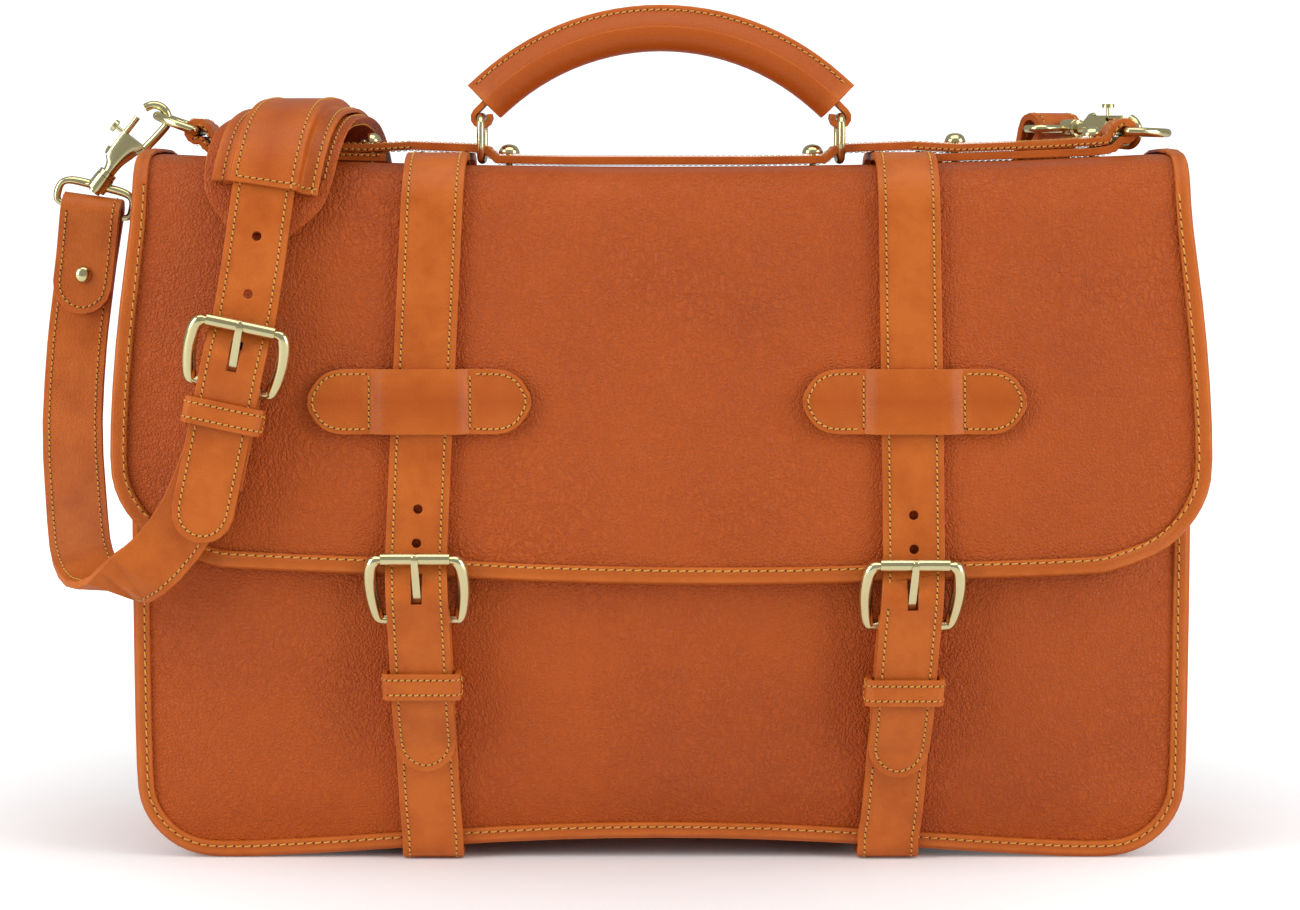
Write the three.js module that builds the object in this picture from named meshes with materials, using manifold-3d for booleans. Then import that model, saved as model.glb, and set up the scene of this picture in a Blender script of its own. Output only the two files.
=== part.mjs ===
// A leather document case with two buckled straps, a handle on rings and a shoulder strap.
// Millimetres, +X to the right seen from the front, +Y to the back, +Z up, floor at z = 0.
import * as THREE from "three";
import { mergeVertices } from "three/addons/utils/BufferGeometryUtils.js";
import Module from "manifold-3d";

const wasm = await Module();
wasm.setup();

// Driving dimensions of the case
const CASE_HALF_WIDTH = 220;
const CASE_HEIGHT = 262;
const EDGE_HALF_DEPTH = 57;
const FACE_BULGE = 9;
const STRAP_DENT = 4;
const DENT_HALF = 17;
const DENT_FALL = 16;
const PILLOW_RISE = 60;
const BODY_CORNER = 33;
const BOTTOM_ARCH = 8.5;
const FLAT_FOOT = 15;
const PANEL_THICKNESS = 2.4;
const GUSSET_THICKNESS = 2;
const GUSSET_PLEAT = 22;
const GAP = 0.3;

// Bound edges
const WELT_WIDTH = 7.3;
const LIP = 1.4;
const BINDING_WIDTH = 5.7;
const BINDING_OVERHANG = 1.9;

// Flap
const FLAP_HALF_WIDTH = 227;
const FLAP_THICKNESS = 2.4;
const FLAP_BOTTOM = 119;
const FLAP_SAG = 9;
const FLAP_LOWEST_X = 25;
const FLAP_CORNER = 42;
const FLAP_BREAK = 268;
const FLAP_EDGE_RADIUS = 18;
const FLAP_TOP = 287.8;
const FLAP_TOP_RISE = 6;
const FLAP_BACK_END = 238;
const FLAP_STAND = 3.8;
const FLAP_EDGE_STAND = 2;

// Straps and their buckles
const STRAP_WIDTH = 25.4;
const STRAP_THICKNESS = 3.2;
const CHORD_TOLERANCE = 0.2;
const LONGEST_STEP = 45;
const BAR_RADIUS = 1.8;
const FRAME_RADIUS = 2.3;
const ROLLER_RADIUS = 2.6;
const ROLLER_LENGTH = 28;
const BUCKLE_SPAN = 26;
const BUCKLE_HALF_WIDTH = 18;
const PRONG_THICKNESS = 2;
const PRONG_WIDTH = 2.8;
const TIP_LENGTH = 90;
const CHAPE_LENGTH = 41;
const SLOT_WIDTH = 4.4;
const HOLE_RADIUS = 2;
const PRONG_HOLE_DOWN = 10.5;
const LOOP_THICKNESS = 1.4;
const LOOP_FRONT = 2.2;
const LOOP_LENGTH = 11;
const CASE_STRAPS = [
  { side: "left", top: -94, buckle: -101, bottom: -95.5, rollerZ: 129, keeper: -99.5 },
  { side: "right", top: 102, buckle: 104, bottom: 95, rollerZ: 126.5, keeper: 104 },
];
const CASE_LOOP_DOWN = 52.5;
const CASE_SPARE_HOLES = [6, 20];
const KEEPER_LENGTH = 92;
const KEEPER_ARCH = 40;
const KEEPER_HEIGHT = 27;
const KEEPER_THICKNESS = 2.4;
const KEEPER_Z = 193;

// Top strap, studs, rings
const TOP_STRAP_THICKNESS = 3.4;
const TOP_STRAP_HALF_LENGTH = 197;
const LOWER_LAYER_END = 117;
const STUD_X = [-184.7, -124.3, -65, 65, 126, 184.7];
const STUD_RADIUS = 4.8;
const STUD_HEIGHT = 4.2;
const STUD_SHANK = 1.3;
const RING_X = 76.5;
const RING_WIRE = 1.6;
const RING_HALF_WIDTH = 15;
const RING_TOP = 310.5;
const D_WIRE = 1.9;
const D_BAR_Z = 304;
const D_DEPTH = 20;
const D_HALF_WIDTH = 15.5;

// Handle
const HANDLE_RADIUS = 106;
const HANDLE_CREST = 347.5;
const GRIP_HALF_ANGLE = THREE.MathUtils.degToRad(45.2);
const GRIP_RADIUS = 8.4;
const GRIP_RIDGE = 10.5;
const GRIP_RIDGE_HALF = 2.4;
const CORE_THICKNESS = 2.4;
const CORE_WIDTH = 14;
const CORE_LOOP_RADIUS = 3.5;

// Shoulder strap and pad
const SHOULDER_LOOP_DOWN = 38;
const SHOULDER_SPARE_HOLES = [12.5, 36, 59];
const SHOULDER_TILT = THREE.MathUtils.degToRad(12);
const SHOULDER_SLOPE = 0.065;
const SHOULDER_ROLLER = new THREE.Vector3(-170.6, -67.2, 224.8);
const PAD_WIDTH = 54;
const PAD_THICKNESS = 4.5;
const SLEEVE_WIDTH = 44;
const SLEEVE_THICKNESS = 1.8;
const PAD_FROM = 130;
const PAD_LENGTH = 250;

// Snap hooks
const FOLD_TAIL = 44;
const RIVET_DOWN = 27;
const FOLD_RADIUS = 5.6;
const HOOK_SHAFT = 3;
const HOOK_WIRE = 2.1;
const HOOK_RING = 6;
const HOOK_TRAVEL = 6;
const BOLT_RADIUS = 1.5;
const EYE_WIRE = 1.8;
const EYE_HALF_WIDTH = 16.5;
const LEFT_HOOK_TILT = THREE.MathUtils.degToRad(38);
const LEFT_EYE_LEAN = THREE.MathUtils.degToRad(-24);
const FOLD_LEAN = THREE.MathUtils.degToRad(8);
const D_TILT_LEFT = THREE.MathUtils.degToRad(20);
const D_TILT_RIGHT = THREE.MathUtils.degToRad(-2);

const X = new THREE.Vector3(1, 0, 0);
const Y = new THREE.Vector3(0, 1, 0);
const Z = new THREE.Vector3(0, 0, 1);

// Directions of the right hook, its eye and the strap that hangs from it
const RIGHT_HOOK_UP = new THREE.Vector3(0.59, -0.807, 0).normalize();
const RIGHT_EYE_SIDE = Z.clone().cross(RIGHT_HOOK_UP).negate();
const RIGHT_AWAY = new THREE.Vector3(-0.241, 0.33, -0.912).normalize();

// Finishes
const leather = new THREE.MeshStandardMaterial({ color: 0xc8642a, roughness: 0.5, metalness: 0 });
const strapLeather = new THREE.MeshStandardMaterial({ color: 0xbf5f28, roughness: 0.48, metalness: 0 });
const bindingLeather = new THREE.MeshStandardMaterial({ color: 0xcc6c30, roughness: 0.5, metalness: 0 });
const brass = new THREE.MeshStandardMaterial({ color: 0xd8cf86, roughness: 0.25, metalness: 1 });

const bag = new THREE.Group();

// Shared helpers

function addPiece(name, geometry, material) {
  const mesh = new THREE.Mesh(geometry, material.clone());
  mesh.name = name;
  bag.add(mesh);
  return mesh;
}

function vec(x, y, z) {
  return new THREE.Vector3(x, y, z);
}

function lerp(a, b, t) {
  return a + (b - a) * t;
}

function smooth(t) {
  const s = Math.min(1, Math.max(0, t));
  return s * s * (3 - 2 * s);
}

// A smooth value between the rows of a table with the columns at and value.
function tableValue(rows, at) {
  const last = rows.length - 1;
  if (at <= rows[0].at) return rows[0].value;
  if (at >= rows[last].at) return rows[last].value;
  const i = rows.findIndex((row) => row.at > at) - 1;
  const slope = (a, b) => (rows[b].value - rows[a].value) / (rows[b].at - rows[a].at);
  const m0 = i > 0 ? slope(i - 1, i + 1) : slope(0, 1);
  const m1 = i + 2 <= last ? slope(i, i + 2) : slope(last - 1, last);
  const span = rows[i + 1].at - rows[i].at;
  const t = (at - rows[i].at) / span;
  const t2 = t * t;
  const t3 = t2 * t;
  const start = (2 * t3 - 3 * t2 + 1) * rows[i].value + (t3 - 2 * t2 + t) * span * m0;
  return start + (-2 * t3 + 3 * t2) * rows[i + 1].value + (t3 - t2) * span * m1;
}

// Even steps from a to b, both ends included.
function steps(a, b, count) {
  return Array.from({ length: count + 1 }, (_, i) => lerp(a, b, i / count));
}

// A closed body from points and faces, with its faces turned outwards.
function closedBody(points, faces) {
  let volume = 0;
  for (const [a, b, c] of faces) volume += points[a].dot(points[b].clone().cross(points[c]));
  const ordered = volume < 0 ? faces.map(([a, b, c]) => [a, c, b]) : faces;
  const geometry = new THREE.BufferGeometry();
  geometry.setAttribute("position", new THREE.Float32BufferAttribute(points.flatMap((p) => p.toArray()), 3));
  geometry.setIndex(ordered.flat());
  geometry.computeVertexNormals();
  return geometry;
}

// Rings of equal length joined into one body: closed on itself, or capped by the flat section.
function loft(rings, section, closed = false) {
  const count = rings[0].length;
  const points = rings.flat();
  const faces = [];
  const spans = closed ? rings.length : rings.length - 1;
  for (let i = 0; i < spans; i++) {
    const next = (i + 1) % rings.length;
    for (let j = 0; j < count; j++) {
      const k = (j + 1) % count;
      faces.push([i * count + j, next * count + j, next * count + k]);
      faces.push([i * count + j, next * count + k, i * count + k]);
    }
  }
  if (!closed) {
    const flat = section.map(([a, b]) => new THREE.Vector2(a, b));
    const clockwise = THREE.ShapeUtils.isClockWise(flat);
    const order = flat.map((_, i) => (clockwise ? flat.length - 1 - i : i));
    const caps = THREE.ShapeUtils.triangulateShape(order.map((i) => flat[i]), []);
    const end = (rings.length - 1) * count;
    for (const cap of caps) {
      const [a, b, c] = cap.map((i) => order[i]);
      const [p, q, r] = clockwise ? [a, c, b] : [a, b, c];
      faces.push([p, q, r], [end + p, end + r, end + q]);
    }
  }
  return closedBody(points, faces);
}

// A section swept along frames: each frame has a centre p, a side s, an outward n and a width share w.
function sweep(frames, section, closed = false) {
  const rings = frames.map(({ p, s, n, w = 1, h = 1 }) =>
    section.map(([a, b]) => p.clone().addScaledVector(s, a * w).addScaledVector(n, b * h)),
  );
  return loft(rings, section, closed);
}

function rectangle(width, thickness) {
  const [a, b] = [width / 2, thickness / 2];
  return [[-a, -b], [a, -b], [a, b], [-a, b]];
}

function circle(radius, sides) {
  return steps(0, Math.PI * 2, sides).slice(0, sides).map((t) => [radius * Math.cos(t), radius * Math.sin(t)]);
}

// Frames along points, the side kept close to the given side vectors.
function framesAlong(points, sides, closed = false) {
  const last = points.length - 1;
  return points.map((p, i) => {
    const before = points[i > 0 ? i - 1 : closed ? last : 0];
    const after = points[i < last ? i + 1 : closed ? 0 : last];
    const t = after.clone().sub(before).normalize();
    const side = Array.isArray(sides) ? sides[i] : sides;
    const n = t.clone().cross(side).normalize();
    const s = n.clone().cross(t).normalize();
    return { p: p.clone(), t, s, n };
  });
}

// A round wire in a plane with the given normal, with its own radius at each point.
function wire(points, planeNormal, radii, closed = true, sides = 7) {
  const frames = framesAlong(points, planeNormal, closed);
  frames.forEach((frame, i) => {
    frame.w = Array.isArray(radii) ? radii[i] : radii;
    frame.h = frame.w;
  });
  return sweep(frames, circle(1, sides), closed);
}

// A sheet between an outer and an inner surface over a grid of u and v values.
function sheet(us, vs, outer, inner) {
  const columns = us.length;
  const points = [];
  for (const surface of [outer, inner]) {
    for (const v of vs) for (const u of us) points.push(surface(u, v));
  }
  const layer = columns * vs.length;
  const faces = [];
  const quad = (a, b, c, d) => faces.push([a, b, c], [a, c, d]);
  for (let j = 0; j + 1 < vs.length; j++) {
    for (let i = 0; i + 1 < columns; i++) {
      const a = j * columns + i;
      quad(a, a + 1, a + columns + 1, a + columns);
      quad(layer + a, layer + a + columns, layer + a + columns + 1, layer + a + 1);
    }
  }
  const wall = (a, b) => quad(b, a, layer + a, layer + b);
  for (let i = 0; i + 1 < columns; i++) {
    wall(i, i + 1);
    wall(layer - 1 - i, layer - 2 - i);
  }
  for (let j = 0; j + 1 < vs.length; j++) {
    wall((j + 1) * columns, j * columns);
    wall((j + 1) * columns - 1, (j + 2) * columns - 1);
  }
  return closedBody(points, faces);
}

// The normal of a surface by small differences.
function surfaceNormal(surface, u, v, uRange, vRange) {
  const e = 1e-3;
  const [u0, u1] = [Math.max(uRange[0], u - e), Math.min(uRange[1], u + e)];
  const [v0, v1] = [Math.max(vRange[0], v - e), Math.min(vRange[1], v + e)];
  const du = surface(u1, v).sub(surface(u0, v));
  const dv = surface(u, v1).sub(surface(u, v0));
  return du.cross(dv).normalize();
}

function toSolid(geometry) {
  const bare = geometry.clone();
  for (const name of ["normal", "uv"]) bare.deleteAttribute(name);
  const merged = mergeVertices(bare, 1e-4);
  const vertProperties = new Float32Array(merged.attributes.position.array);
  const triVerts = new Uint32Array(merged.index.array);
  return new wasm.Manifold(new wasm.Mesh({ numProp: 3, vertProperties, triVerts }));
}

function fromSolid(solid) {
  const mesh = solid.getMesh();
  const geometry = new THREE.BufferGeometry();
  geometry.setAttribute("position", new THREE.BufferAttribute(new Float32Array(mesh.vertProperties), 3));
  geometry.setIndex(Array.from(mesh.triVerts));
  geometry.computeVertexNormals();
  return geometry;
}

function cut(geometry, tools) {
  return fromSolid(tools.reduce((solid, tool) => solid.subtract(toSolid(tool)), toSolid(geometry)));
}

function join(geometries) {
  return fromSolid(geometries.map(toSolid).reduce((a, b) => a.add(b)));
}

// A rod between two points.
function rod(from, to, radius, sides = 12) {
  const axis = to.clone().sub(from);
  const geometry = new THREE.CylinderGeometry(radius, radius, axis.length(), sides);
  geometry.applyQuaternion(new THREE.Quaternion().setFromUnitVectors(Y, axis.clone().normalize()));
  const middle = from.clone().add(to).multiplyScalar(0.5);
  return geometry.translate(middle.x, middle.y, middle.z);
}

// The form of the case

// Half the depth at the bound edges, as a share of the greatest, over the height of the faces.
const DEPTH_ROWS = [
  { at: 0, value: 0.93 },
  { at: 0.2, value: 0.985 },
  { at: 0.42, value: 1 },
  { at: 0.62, value: 0.97 },
  { at: 0.82, value: 0.89 },
  { at: 1, value: 0.8 },
];
// How much of the bulge each height has.
const BULGE_ROWS = [
  { at: 0, value: 1 },
  { at: 0.45, value: 1 },
  { at: 0.75, value: 0.85 },
  { at: 1, value: 0.55 },
];
// Half the flap's width, as a share of the greatest, over its front height.
const FLAP_WIDTH_ROWS = [
  { at: 0, value: 0.99 },
  { at: 0.42, value: 1 },
  { at: 0.51, value: 0.993 },
  { at: 0.78, value: 0.978 },
  { at: 1, value: 0.957 },
];

function edgeDepth(z) {
  return EDGE_HALF_DEPTH * tableValue(DEPTH_ROWS, z / CASE_HEIGHT);
}

// How far a point of a face lies inside the rounded outline of the case.
function insideOutline(x, z) {
  const side = CASE_HALF_WIDTH - Math.abs(x);
  if (side > BODY_CORNER || z > BODY_CORNER) return Math.min(side, z);
  return BODY_CORNER - Math.hypot(BODY_CORNER - side, BODY_CORNER - z);
}

// How far a face stands out from its bound edge.
function bulge(x, z) {
  const rise = Math.min(1, Math.max(0, (insideOutline(x, z) - WELT_WIDTH - 2) / PILLOW_RISE));
  const dents = CASE_STRAPS.reduce((sum, strap) => {
    const away = Math.max(0, Math.abs(x - (strap.top + strap.buckle) / 2) - DENT_HALF);
    return sum + Math.exp(-((away / DENT_FALL) ** 2));
  }, 0);
  const height = tableValue(BULGE_ROWS, z / CASE_HEIGHT);
  return (FACE_BULGE - STRAP_DENT * dents) * height * (1 - (1 - rise) ** 3);
}

// Distance of a face's outer side from the middle plane of the case.
function faceDepth(x, z) {
  return edgeDepth(z) + bulge(x, z);
}

// Sideways places for the faces and the flap as shares of a half width: dense at the dents and the edges.
const INNER_SHARE = 0.7;

function columnShares(halfWidth, outer) {
  const inner = CASE_STRAPS.flatMap((strap) => {
    const centre = (strap.top + strap.buckle) / 2;
    const reach = DENT_HALF + 1.4 * DENT_FALL;
    return [-reach, -DENT_HALF - 2, DENT_HALF + 2, reach].map((a) => (centre + a) / halfWidth);
  });
  return [...outer.map((u) => -u).reverse(), ...inner.slice(0, 4), 0, ...inner.slice(4), ...outer];
}

// Inner columns keep their place, and the outer ones follow the width of their row.
function columnX(u, fullWidth, rowWidth) {
  const share = Math.abs(u);
  if (share <= INNER_SHARE) return u * fullWidth;
  return Math.sign(u) * lerp(INNER_SHARE * fullWidth, rowWidth, (share - INNER_SHARE) / (1 - INNER_SHARE));
}

const SEAM_X = CASE_HALF_WIDTH - WELT_WIDTH;
const SEAM_CORNER = BODY_CORNER - WELT_WIDTH;
const ARCH_HALF = SEAM_X - SEAM_CORNER - FLAT_FOOT;
const EDGE_REACH = WELT_WIDTH - LIP - 2 * GAP;

function archHeight(x) {
  const share = Math.abs(x) / ARCH_HALF;
  return share < 1 ? BOTTOM_ARCH * (1 - share ** 2) ** 1.5 : 0;
}

// The seam line round the two sides and the bottom, as points with an outward direction.
function seamLine() {
  const line = [];
  const corner = SEAM_X - SEAM_CORNER;
  const low = WELT_WIDTH + SEAM_CORNER;
  for (const z of steps(CASE_HEIGHT, low, 5)) line.push({ x: -SEAM_X, z, nx: -1, nz: 0 });
  for (const t of steps(0, Math.PI / 2, 6).slice(1)) {
    const [c, s] = [Math.cos(t), Math.sin(t)];
    line.push({ x: -corner - SEAM_CORNER * c, z: low - SEAM_CORNER * s, nx: -c, nz: -s });
  }
  const foot = [-ARCH_HALF, ...steps(-0.78 * ARCH_HALF, 0.78 * ARCH_HALF, 6), ARCH_HALF, corner];
  for (const x of foot) line.push({ x, z: WELT_WIDTH + archHeight(x), nx: 0, nz: -1 });
  const mirrored = line.slice(0, 12).reverse().slice(1);
  for (const { x, z, nx, nz } of mirrored) line.push({ x: -x, z, nx: -nx, nz });
  return line;
}

// A face of the case: side -1 is the front and 1 the back.
function facePanel(side) {
  const reach = EDGE_REACH - 2 * GAP;
  const radius = SEAM_CORNER + reach;
  const bottom = WELT_WIDTH - reach;
  const corner = [0, 34, 52, 70, 90].map((a) => bottom + radius * (1 - Math.cos(THREE.MathUtils.degToRad(a))));
  const rows = [...corner, ...steps(corner[4], CASE_HEIGHT, 5).slice(1)];
  const point = (u, z, inset) => {
    const below = Math.max(0, bottom + radius - z);
    const halfWidth = SEAM_X + reach - radius + Math.sqrt(Math.max(0, radius ** 2 - below ** 2));
    const x = columnX(u, SEAM_X + reach, halfWidth);
    const lift = archHeight(x) * Math.max(0, 1 - (z - bottom) / (CASE_HEIGHT / 2)) ** 2;
    return vec(x, side * (edgeDepth(z + lift) + bulge(x, z) - inset), z + lift);
  };
  const columns = columnShares(SEAM_X + reach, [0.79, 0.88, 0.945, (SEAM_X - 2 * GAP) / (SEAM_X + reach), 1]);
  return sheet(columns, rows, (u, z) => point(u, z, 0), (u, z) => point(u, z, PANEL_THICKNESS));
}

const FLANGE_INSET = PANEL_THICKNESS + 1.6 * GAP + GUSSET_THICKNESS / 2;

function gusset() {
  const line = seamLine();
  const surface = (i, j) => {
    const station = line[Math.round(i)];
    const onSide = Math.abs(station.nx) > 0.99 ? smooth((station.z - BODY_CORNER) / CASE_HEIGHT) : 0;
    const pleat = GUSSET_PLEAT * onSide;
    const depth = edgeDepth(station.z);
    const sag = 1 - onSide;
    const rows = [
      [EDGE_REACH, depth - FLANGE_INSET],
      [-GUSSET_THICKNESS, depth - FLANGE_INSET],
      [-2 * GUSSET_THICKNESS - 0.35 * pleat, 0.6 * depth],
      [sag - 2 * GUSSET_THICKNESS - pleat, 0],
    ];
    const row = j <= 3 ? rows[j] : [rows[6 - j][0], -rows[6 - j][1]];
    return vec(station.x + station.nx * row[0], row[1], station.z + station.nz * row[0]);
  };
  const is = line.map((_, i) => i);
  const js = [0, 1, 2, 3, 4, 5, 6];
  const normal = (i, j) => {
    const [i0, i1] = [Math.max(0, i - 1), Math.min(line.length - 1, i + 1)];
    const across = (a, b) => surface(i, b).sub(surface(i, a)).normalize();
    const along = surface(i1, j).sub(surface(i0, j)).normalize();
    const bisector = j === 0 ? across(0, 1) : j === 6 ? across(5, 6) : across(j - 1, j).add(across(j, j + 1));
    return along.cross(bisector.normalize()).normalize();
  };
  const half = GUSSET_THICKNESS / 2;
  const outer = (i, j) => surface(i, j).addScaledVector(normal(i, j), half);
  const inner = (i, j) => surface(i, j).addScaledVector(normal(i, j), -half);
  return sheet(is, js, outer, inner);
}

// The bound edge that holds a face's edge and the gusset's flange.
function welt(side) {
  const inside = PANEL_THICKNESS + 3 * GAP + GUSSET_THICKNESS;
  const slotEnd = EDGE_REACH + GAP;
  const section = [
    [0, -GAP],
    [0.6, -GAP - LIP],
    [EDGE_REACH, -GAP - LIP],
    [WELT_WIDTH, 0.4],
    [WELT_WIDTH, inside - 0.4],
    [EDGE_REACH, inside + LIP],
    [0.8, inside + LIP],
    [0.8, inside],
    [slotEnd, inside],
    [slotEnd, -GAP],
  ];
  const rings = seamLine().map(({ x, z, nx, nz }) =>
    section.map(([out, inset]) => vec(x + nx * out, side * (edgeDepth(z) - inset), z + nz * out)),
  );
  return loft(rings, section);
}

// The flap

function flapBottom(x) {
  return FLAP_BOTTOM + FLAP_SAG * (Math.abs(x - FLAP_LOWEST_X) / FLAP_HALF_WIDTH) ** 1.5;
}

function flapTop(x) {
  return FLAP_TOP + FLAP_TOP_RISE * (x / CASE_HALF_WIDTH) ** 2;
}

function flapStand(x, back) {
  const edge = Math.min(1, Math.abs(x) / CASE_HALF_WIDTH);
  const onBack = 2 * GAP + FLAP_THICKNESS / 2;
  const middle = back ? onBack : FLAP_STAND;
  const rim = FLAP_STAND + FLAP_EDGE_STAND;
  return lerp(middle, rim, edge ** (back ? 6 : 4));
}

// Runs along the flap: 0 to 1 up the front, to 2 over the front edge, to 3 over the top,
// to 4 over the back edge and to 5 down the back.
function flapMiddle(u, run) {
  const height = FLAP_BREAK - FLAP_BOTTOM;
  const share = Math.min(1, run);
  const rise = share * height;
  const below = Math.max(0, FLAP_CORNER - rise);
  const rounding = Math.sqrt(FLAP_CORNER ** 2 - below ** 2) - FLAP_CORNER;
  const rowWidth = FLAP_HALF_WIDTH * tableValue(FLAP_WIDTH_ROWS, share) + rounding;
  const x = columnX(u, FLAP_HALF_WIDTH, rowWidth);
  const radius = FLAP_EDGE_RADIUS;
  const top = flapTop(x);
  const front = faceDepth(x, FLAP_BREAK) + flapStand(x, false);
  const back = faceDepth(x, FLAP_BREAK) + flapStand(x, true);
  if (run <= 1) {
    const z = FLAP_BOTTOM + rise + (flapBottom(x) - FLAP_BOTTOM) * (1 - share) ** 2;
    return flapFront(x, z);
  }
  if (run <= 2) {
    const t = ((run - 1) * Math.PI) / 2;
    return vec(x, -front + radius * (1 - Math.cos(t)), lerp(FLAP_BREAK, top, Math.sin(t)));
  }
  if (run <= 3) return vec(x, lerp(-front + radius, back - radius, run - 2), top);
  if (run <= 4) {
    const t = ((4 - run) * Math.PI) / 2;
    return vec(x, back - radius * (1 - Math.cos(t)), lerp(FLAP_BREAK, top, Math.sin(t)));
  }
  const z = lerp(FLAP_BREAK, FLAP_BACK_END, run - 4);
  return vec(x, faceDepth(x, z) + flapStand(x, true), z);
}

function flapFront(x, z) {
  return vec(x, -faceDepth(x, z) - flapStand(x, false), z);
}

function flapFrontNormal({ x, z }) {
  const slope = (a, b) => flapFront(...a).y - flapFront(...b).y;
  return vec(slope([x + 1, z], [x - 1, z]), -2, slope([x, z + 1], [x, z - 1])).normalize();
}

function flapNormal(u, run) {
  if (run < 1) return flapFrontNormal(flapMiddle(u, run));
  return surfaceNormal(flapMiddle, u, run, [-1, 1], [0, 5]);
}

function flapRuns() {
  const height = FLAP_BREAK - FLAP_BOTTOM;
  const first = Math.acos(1 - BINDING_WIDTH / FLAP_CORNER);
  const corner = [0, ...steps(first, Math.PI / 2, 4)].map((t) => (FLAP_CORNER * (1 - Math.cos(t))) / height);
  const front = steps(corner[5], 1, 3).slice(1);
  return [...corner, ...front, 1.33, 1.67, 2, 3, 3.33, 3.67, 4, 5];
}

const BINDING_SHARE = 1 - BINDING_WIDTH / FLAP_HALF_WIDTH;
const FLAP_COLUMNS = columnShares(FLAP_HALF_WIDTH, [0.78, 0.85, 0.92, BINDING_SHARE, 1]);

// A point that lies a distance outside the flap's middle.
function onFlap(u, run, out) {
  return flapMiddle(u, run).addScaledVector(flapNormal(u, run), out);
}

function flap() {
  const half = FLAP_THICKNESS / 2;
  const body = sheet(FLAP_COLUMNS, flapRuns(), (u, v) => onFlap(u, v, half), (u, v) => onFlap(u, v, -half));
  return cut(body, STUD_X.map((x) => rod(vec(x, 0, FLAP_BREAK), vec(x, 0, FLAP_TOP + 20), STUD_SHANK + GAP, 6)));
}

function flapBinding() {
  const half = FLAP_THICKNESS / 2 + 2.5 * GAP;
  const outer = half + LIP;
  const section = [
    [-BINDING_WIDTH, half],
    [-BINDING_WIDTH + 0.6, outer],
    [0.5, outer],
    [BINDING_OVERHANG, 0.4 * outer],
    [BINDING_OVERHANG, -0.4 * outer],
    [0.5, -outer],
    [-BINDING_WIDTH, -outer],
    [-BINDING_WIDTH, -half],
    [GAP, -half],
    [GAP, half],
  ];
  const runs = flapRuns();
  const nearSide = FLAP_COLUMNS[FLAP_COLUMNS.length - 2];
  const edge = [
    ...runs.slice().reverse().map((run) => [-1, run]),
    ...FLAP_COLUMNS.slice(1, -1).map((u) => [u, 0]),
    ...runs.map((run) => [1, run]),
  ];
  const points = edge.map(([u, run]) => flapMiddle(u, run));
  const rings = points.map((p, i) => {
    const [u, run] = edge[i];
    const before = points[Math.max(0, i - 1)];
    const after = points[Math.min(points.length - 1, i + 1)];
    const along = after.clone().sub(before).normalize();
    const onFront = run < 1;
    const across = onFront ? vec(-along.z, 0, along.x).normalize() : null;
    const inner = onFront
      ? flapFront(p.x + across.x * BINDING_WIDTH, p.z + across.z * BINDING_WIDTH)
      : flapMiddle(Math.sign(u) * nearSide, run);
    const normal = flapNormal(u, run);
    const innerNormal = onFront ? flapFrontNormal(inner) : flapNormal(Math.sign(u) * nearSide, run);
    const out = p.clone().sub(inner).normalize();
    return section.map(([a, b]) => {
      const share = Math.max(0, -a / BINDING_WIDTH);
      const lift = normal.clone().lerp(innerNormal, share).normalize();
      return p.clone().lerp(inner, share).addScaledVector(out, Math.max(0, a)).addScaledVector(lift, b);
    });
  });
  return loft(rings, section);
}

// Layers of a buckled strap, as heights of their middles above what the strap lies on
const LAYER = STRAP_THICKNESS + GAP;
const ON_BASE = GAP + STRAP_THICKNESS / 2;
const HEEL_HEIGHT = LAYER + GAP + BAR_RADIUS;
const WRAP_RADIUS = BAR_RADIUS + 1.5 * GAP + STRAP_THICKNESS / 2;
const BEHIND_ROLLER = FLAP_STAND + FLAP_THICKNESS / 2 + 2 * GAP + LIP + STRAP_THICKNESS / 2 + 2 * GAP;
const ROLLER_HEIGHT = BEHIND_ROLLER + STRAP_THICKNESS / 2 + 1.5 * GAP + ROLLER_RADIUS;
const OVER_HEEL = HEEL_HEIGHT + WRAP_RADIUS;
const LOOP_LOW = LAYER + 2 * GAP;
const IN_LOOP = LOOP_LOW + LOOP_THICKNESS + ON_BASE + 0.2;

// The tip's side, from behind the roller to the rounded end: down is a share of the buckle's span.
const TIP_ROWS = [
  { down: 0.05, height: BEHIND_ROLLER },
  { down: 0.2, height: BEHIND_ROLLER + 0.6 * LAYER },
  { down: 0.4, height: OVER_HEEL + 1.15 * LAYER },
  { down: 0.62, height: OVER_HEEL + 1.5 * LAYER },
  { down: 0.95, height: OVER_HEEL + 1.2 * LAYER },
  { down: 1.2, height: OVER_HEEL + 0.95 * LAYER },
];

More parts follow.
